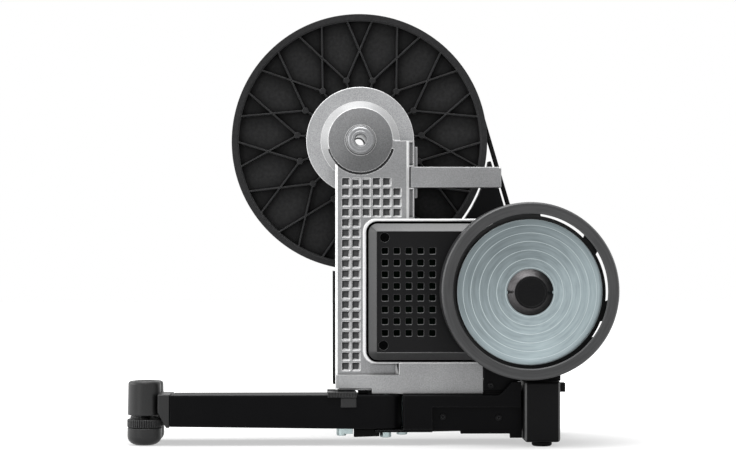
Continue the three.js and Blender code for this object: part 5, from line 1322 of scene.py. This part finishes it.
softened("carry_handle", 2.6, [cast_metal, highlight_metal], segments=3,
         paint=lit_upward)
softened("drive_cover", 1.0, black_plastic)
softened("belt_guard", 0.8, black_plastic)
softened("base_frame", 0.8, black_paint)
softened("rubber_wedge", 0.6, rubber)
softened("side_panel", 0.6, black_paint)
softened("rear_beam", 0.8, black_paint)
softened("power_inlet", 0.4, black_plastic)
for side in ("near", "far"):
    softened("rear_block_" + side, 3.2, [black_plastic, highlight_plastic],
             segments=3, paint=lit_upright_edge)
    softened("leg_tube_" + side, 1.4, black_paint, segments=3)
    softened("leg_latch_" + side, 0.25, grey_plastic)
    softened("lock_pin_" + side, 0.4, bolt_metal)
    softened("rear_pad_" + side, 0.5, rubber)

KEPT = {
    "turned_steel": turned_metal,
    "winding": copper_wire,
    "board": board_green,
}
for entry in frame["record"]["subparts"]:
    obj = frame["nodes"][entry["node"]]
    if entry["material_slot"] in KEPT:
        obj.data.materials.clear()
        obj.data.materials.append(KEPT[entry["material_slot"]])


# Floor, light and camera

FLOOR_SIZE = 9.0


def floor():
    """A pale floor. What the camera sees of it brightens to white away from the trainer."""
    mesh = bpy.data.meshes.new("floor")
    half = FLOOR_SIZE / 2
    mesh.from_pydata([(x, y, 0) for x, y in oblong(-half, half, -half, half)], [], [(0, 1, 2, 3)])
    obj = placed("floor", mesh)
    material = bpy.data.materials.new("floor")
    material.use_nodes = True
    nodes, links = material.node_tree.nodes, material.node_tree.links
    shader = nodes["Principled BSDF"]
    shader.inputs["Base Color"].default_value = (0.45, 0.45, 0.45, 1)
    shader.inputs["Roughness"].default_value = 0.9
    shader.inputs["Specular IOR Level"].default_value = 0.0
    places = nodes.new("ShaderNodeTexCoord").outputs["Object"]
    squeezed = vectors(nodes, links, "MULTIPLY", places, (1.0, 2.2, 1.0)).outputs[0]
    away = vectors(nodes, links, "LENGTH", squeezed).outputs["Value"]
    glow = nodes.new("ShaderNodeEmission")
    brightness = ramp(nodes, links, away, 0.26, 0.50, 0.52, 1.0, "SMOOTHSTEP")
    links.new(brightness, glow.inputs["Strength"])
    both = nodes.new("ShaderNodeAddShader")
    links.new(shader.outputs[0], both.inputs[0])
    links.new(glow.outputs[0], both.inputs[1])
    split_rays(nodes, links, shader, both, "Material Output")
    obj.data.materials.append(material)


def seen_rays(nodes, links):
    """1 for camera, glossy and transmission rays, and 0 for those that only carry light."""
    path = nodes.new("ShaderNodeLightPath")
    seen = path.outputs["Is Camera Ray"]
    for kind in ("Is Glossy Ray", "Is Transmission Ray"):
        either = made(nodes, "Math", "MAXIMUM")
        links.new(seen, either.inputs[0])
        links.new(path.outputs[kind], either.inputs[1])
        seen = either.outputs[0]
    return seen


def split_rays(nodes, links, carried, seen, output):
    """One shader for the rays that only carry light, and another for those that see."""
    choose = nodes.new("ShaderNodeMixShader")
    sources = seen_rays(nodes, links), carried.outputs[0], seen.outputs[0]
    for source, socket in zip(sources, choose.inputs):
        links.new(source, socket)
    links.new(choose.outputs[0], nodes[output].inputs["Surface"])


def world():
    sky = bpy.data.worlds.new("studio")
    sky.use_nodes = True
    bpy.context.scene.world = sky
    nodes, links = sky.node_tree.nodes, sky.node_tree.links
    fill = nodes["Background"]
    fill.inputs["Color"].default_value = (1, 1, 1, 1)
    fill.inputs["Strength"].default_value = 0.35
    white = made(nodes, "Background", color=(1, 1, 1, 1), strength=1.0)
    split_rays(nodes, links, fill, white, "World Output")


def softbox(name, place, target, width, height, radiance):
    """A soft rectangular lamp. Its power follows from its size and how bright its face is."""
    lamp = bpy.data.lights.new(name, "AREA")
    lamp.shape = "RECTANGLE"
    lamp.size, lamp.size_y = width, height
    lamp.energy = radiance * pi * width * height
    aimed(placed(name, lamp, place), target)


def aimed(obj, target):
    """Turns a lamp or a camera towards a point."""
    way = Vector(target) - Vector(obj.location)
    obj.rotation_euler = way.to_track_quat("-Z", "Y").to_euler()


EYE, AIM = Vector((-51.6, -2324, 236.6)), Vector((9.8, 0, 236.6))
SENSOR_WIDTH = 36
PHOTO_FOCUS, PHOTO_WIDTH = 2045, 736


def camera():
    """The photograph's view: level, at the height and distance found from it. Its focal length
    and width are in pixels."""
    data = bpy.data.cameras.new("camera")
    data.sensor_width = SENSOR_WIDTH
    data.lens = PHOTO_FOCUS / PHOTO_WIDTH * SENSOR_WIDTH
    data.clip_end = 60
    obj = placed("camera", data, ORIGIN + EYE * MM)
    aimed(obj, ORIGIN + AIM * MM)
    bpy.context.scene.camera = obj


floor()
world()
softbox("top", (-0.15, -0.3, 2.0), (0, 0, 0.25), 1.9, 1.6, 5.0)
softbox("left", (-1.75, 0.1, 0.75), (0, 0, 0.25), 1.7, 1.3, 3.0)
softbox("right", (1.8, 0.25, 0.8), (0, 0, 0.25), 0.5, 1.5, 2.0)
softbox("front_left", (-1.3, -1.55, 0.55), (0, 0, 0.25), 0.22, 1.2, 7.0)
camera()
bpy.context.scene.view_settings.view_transform = "Standard"
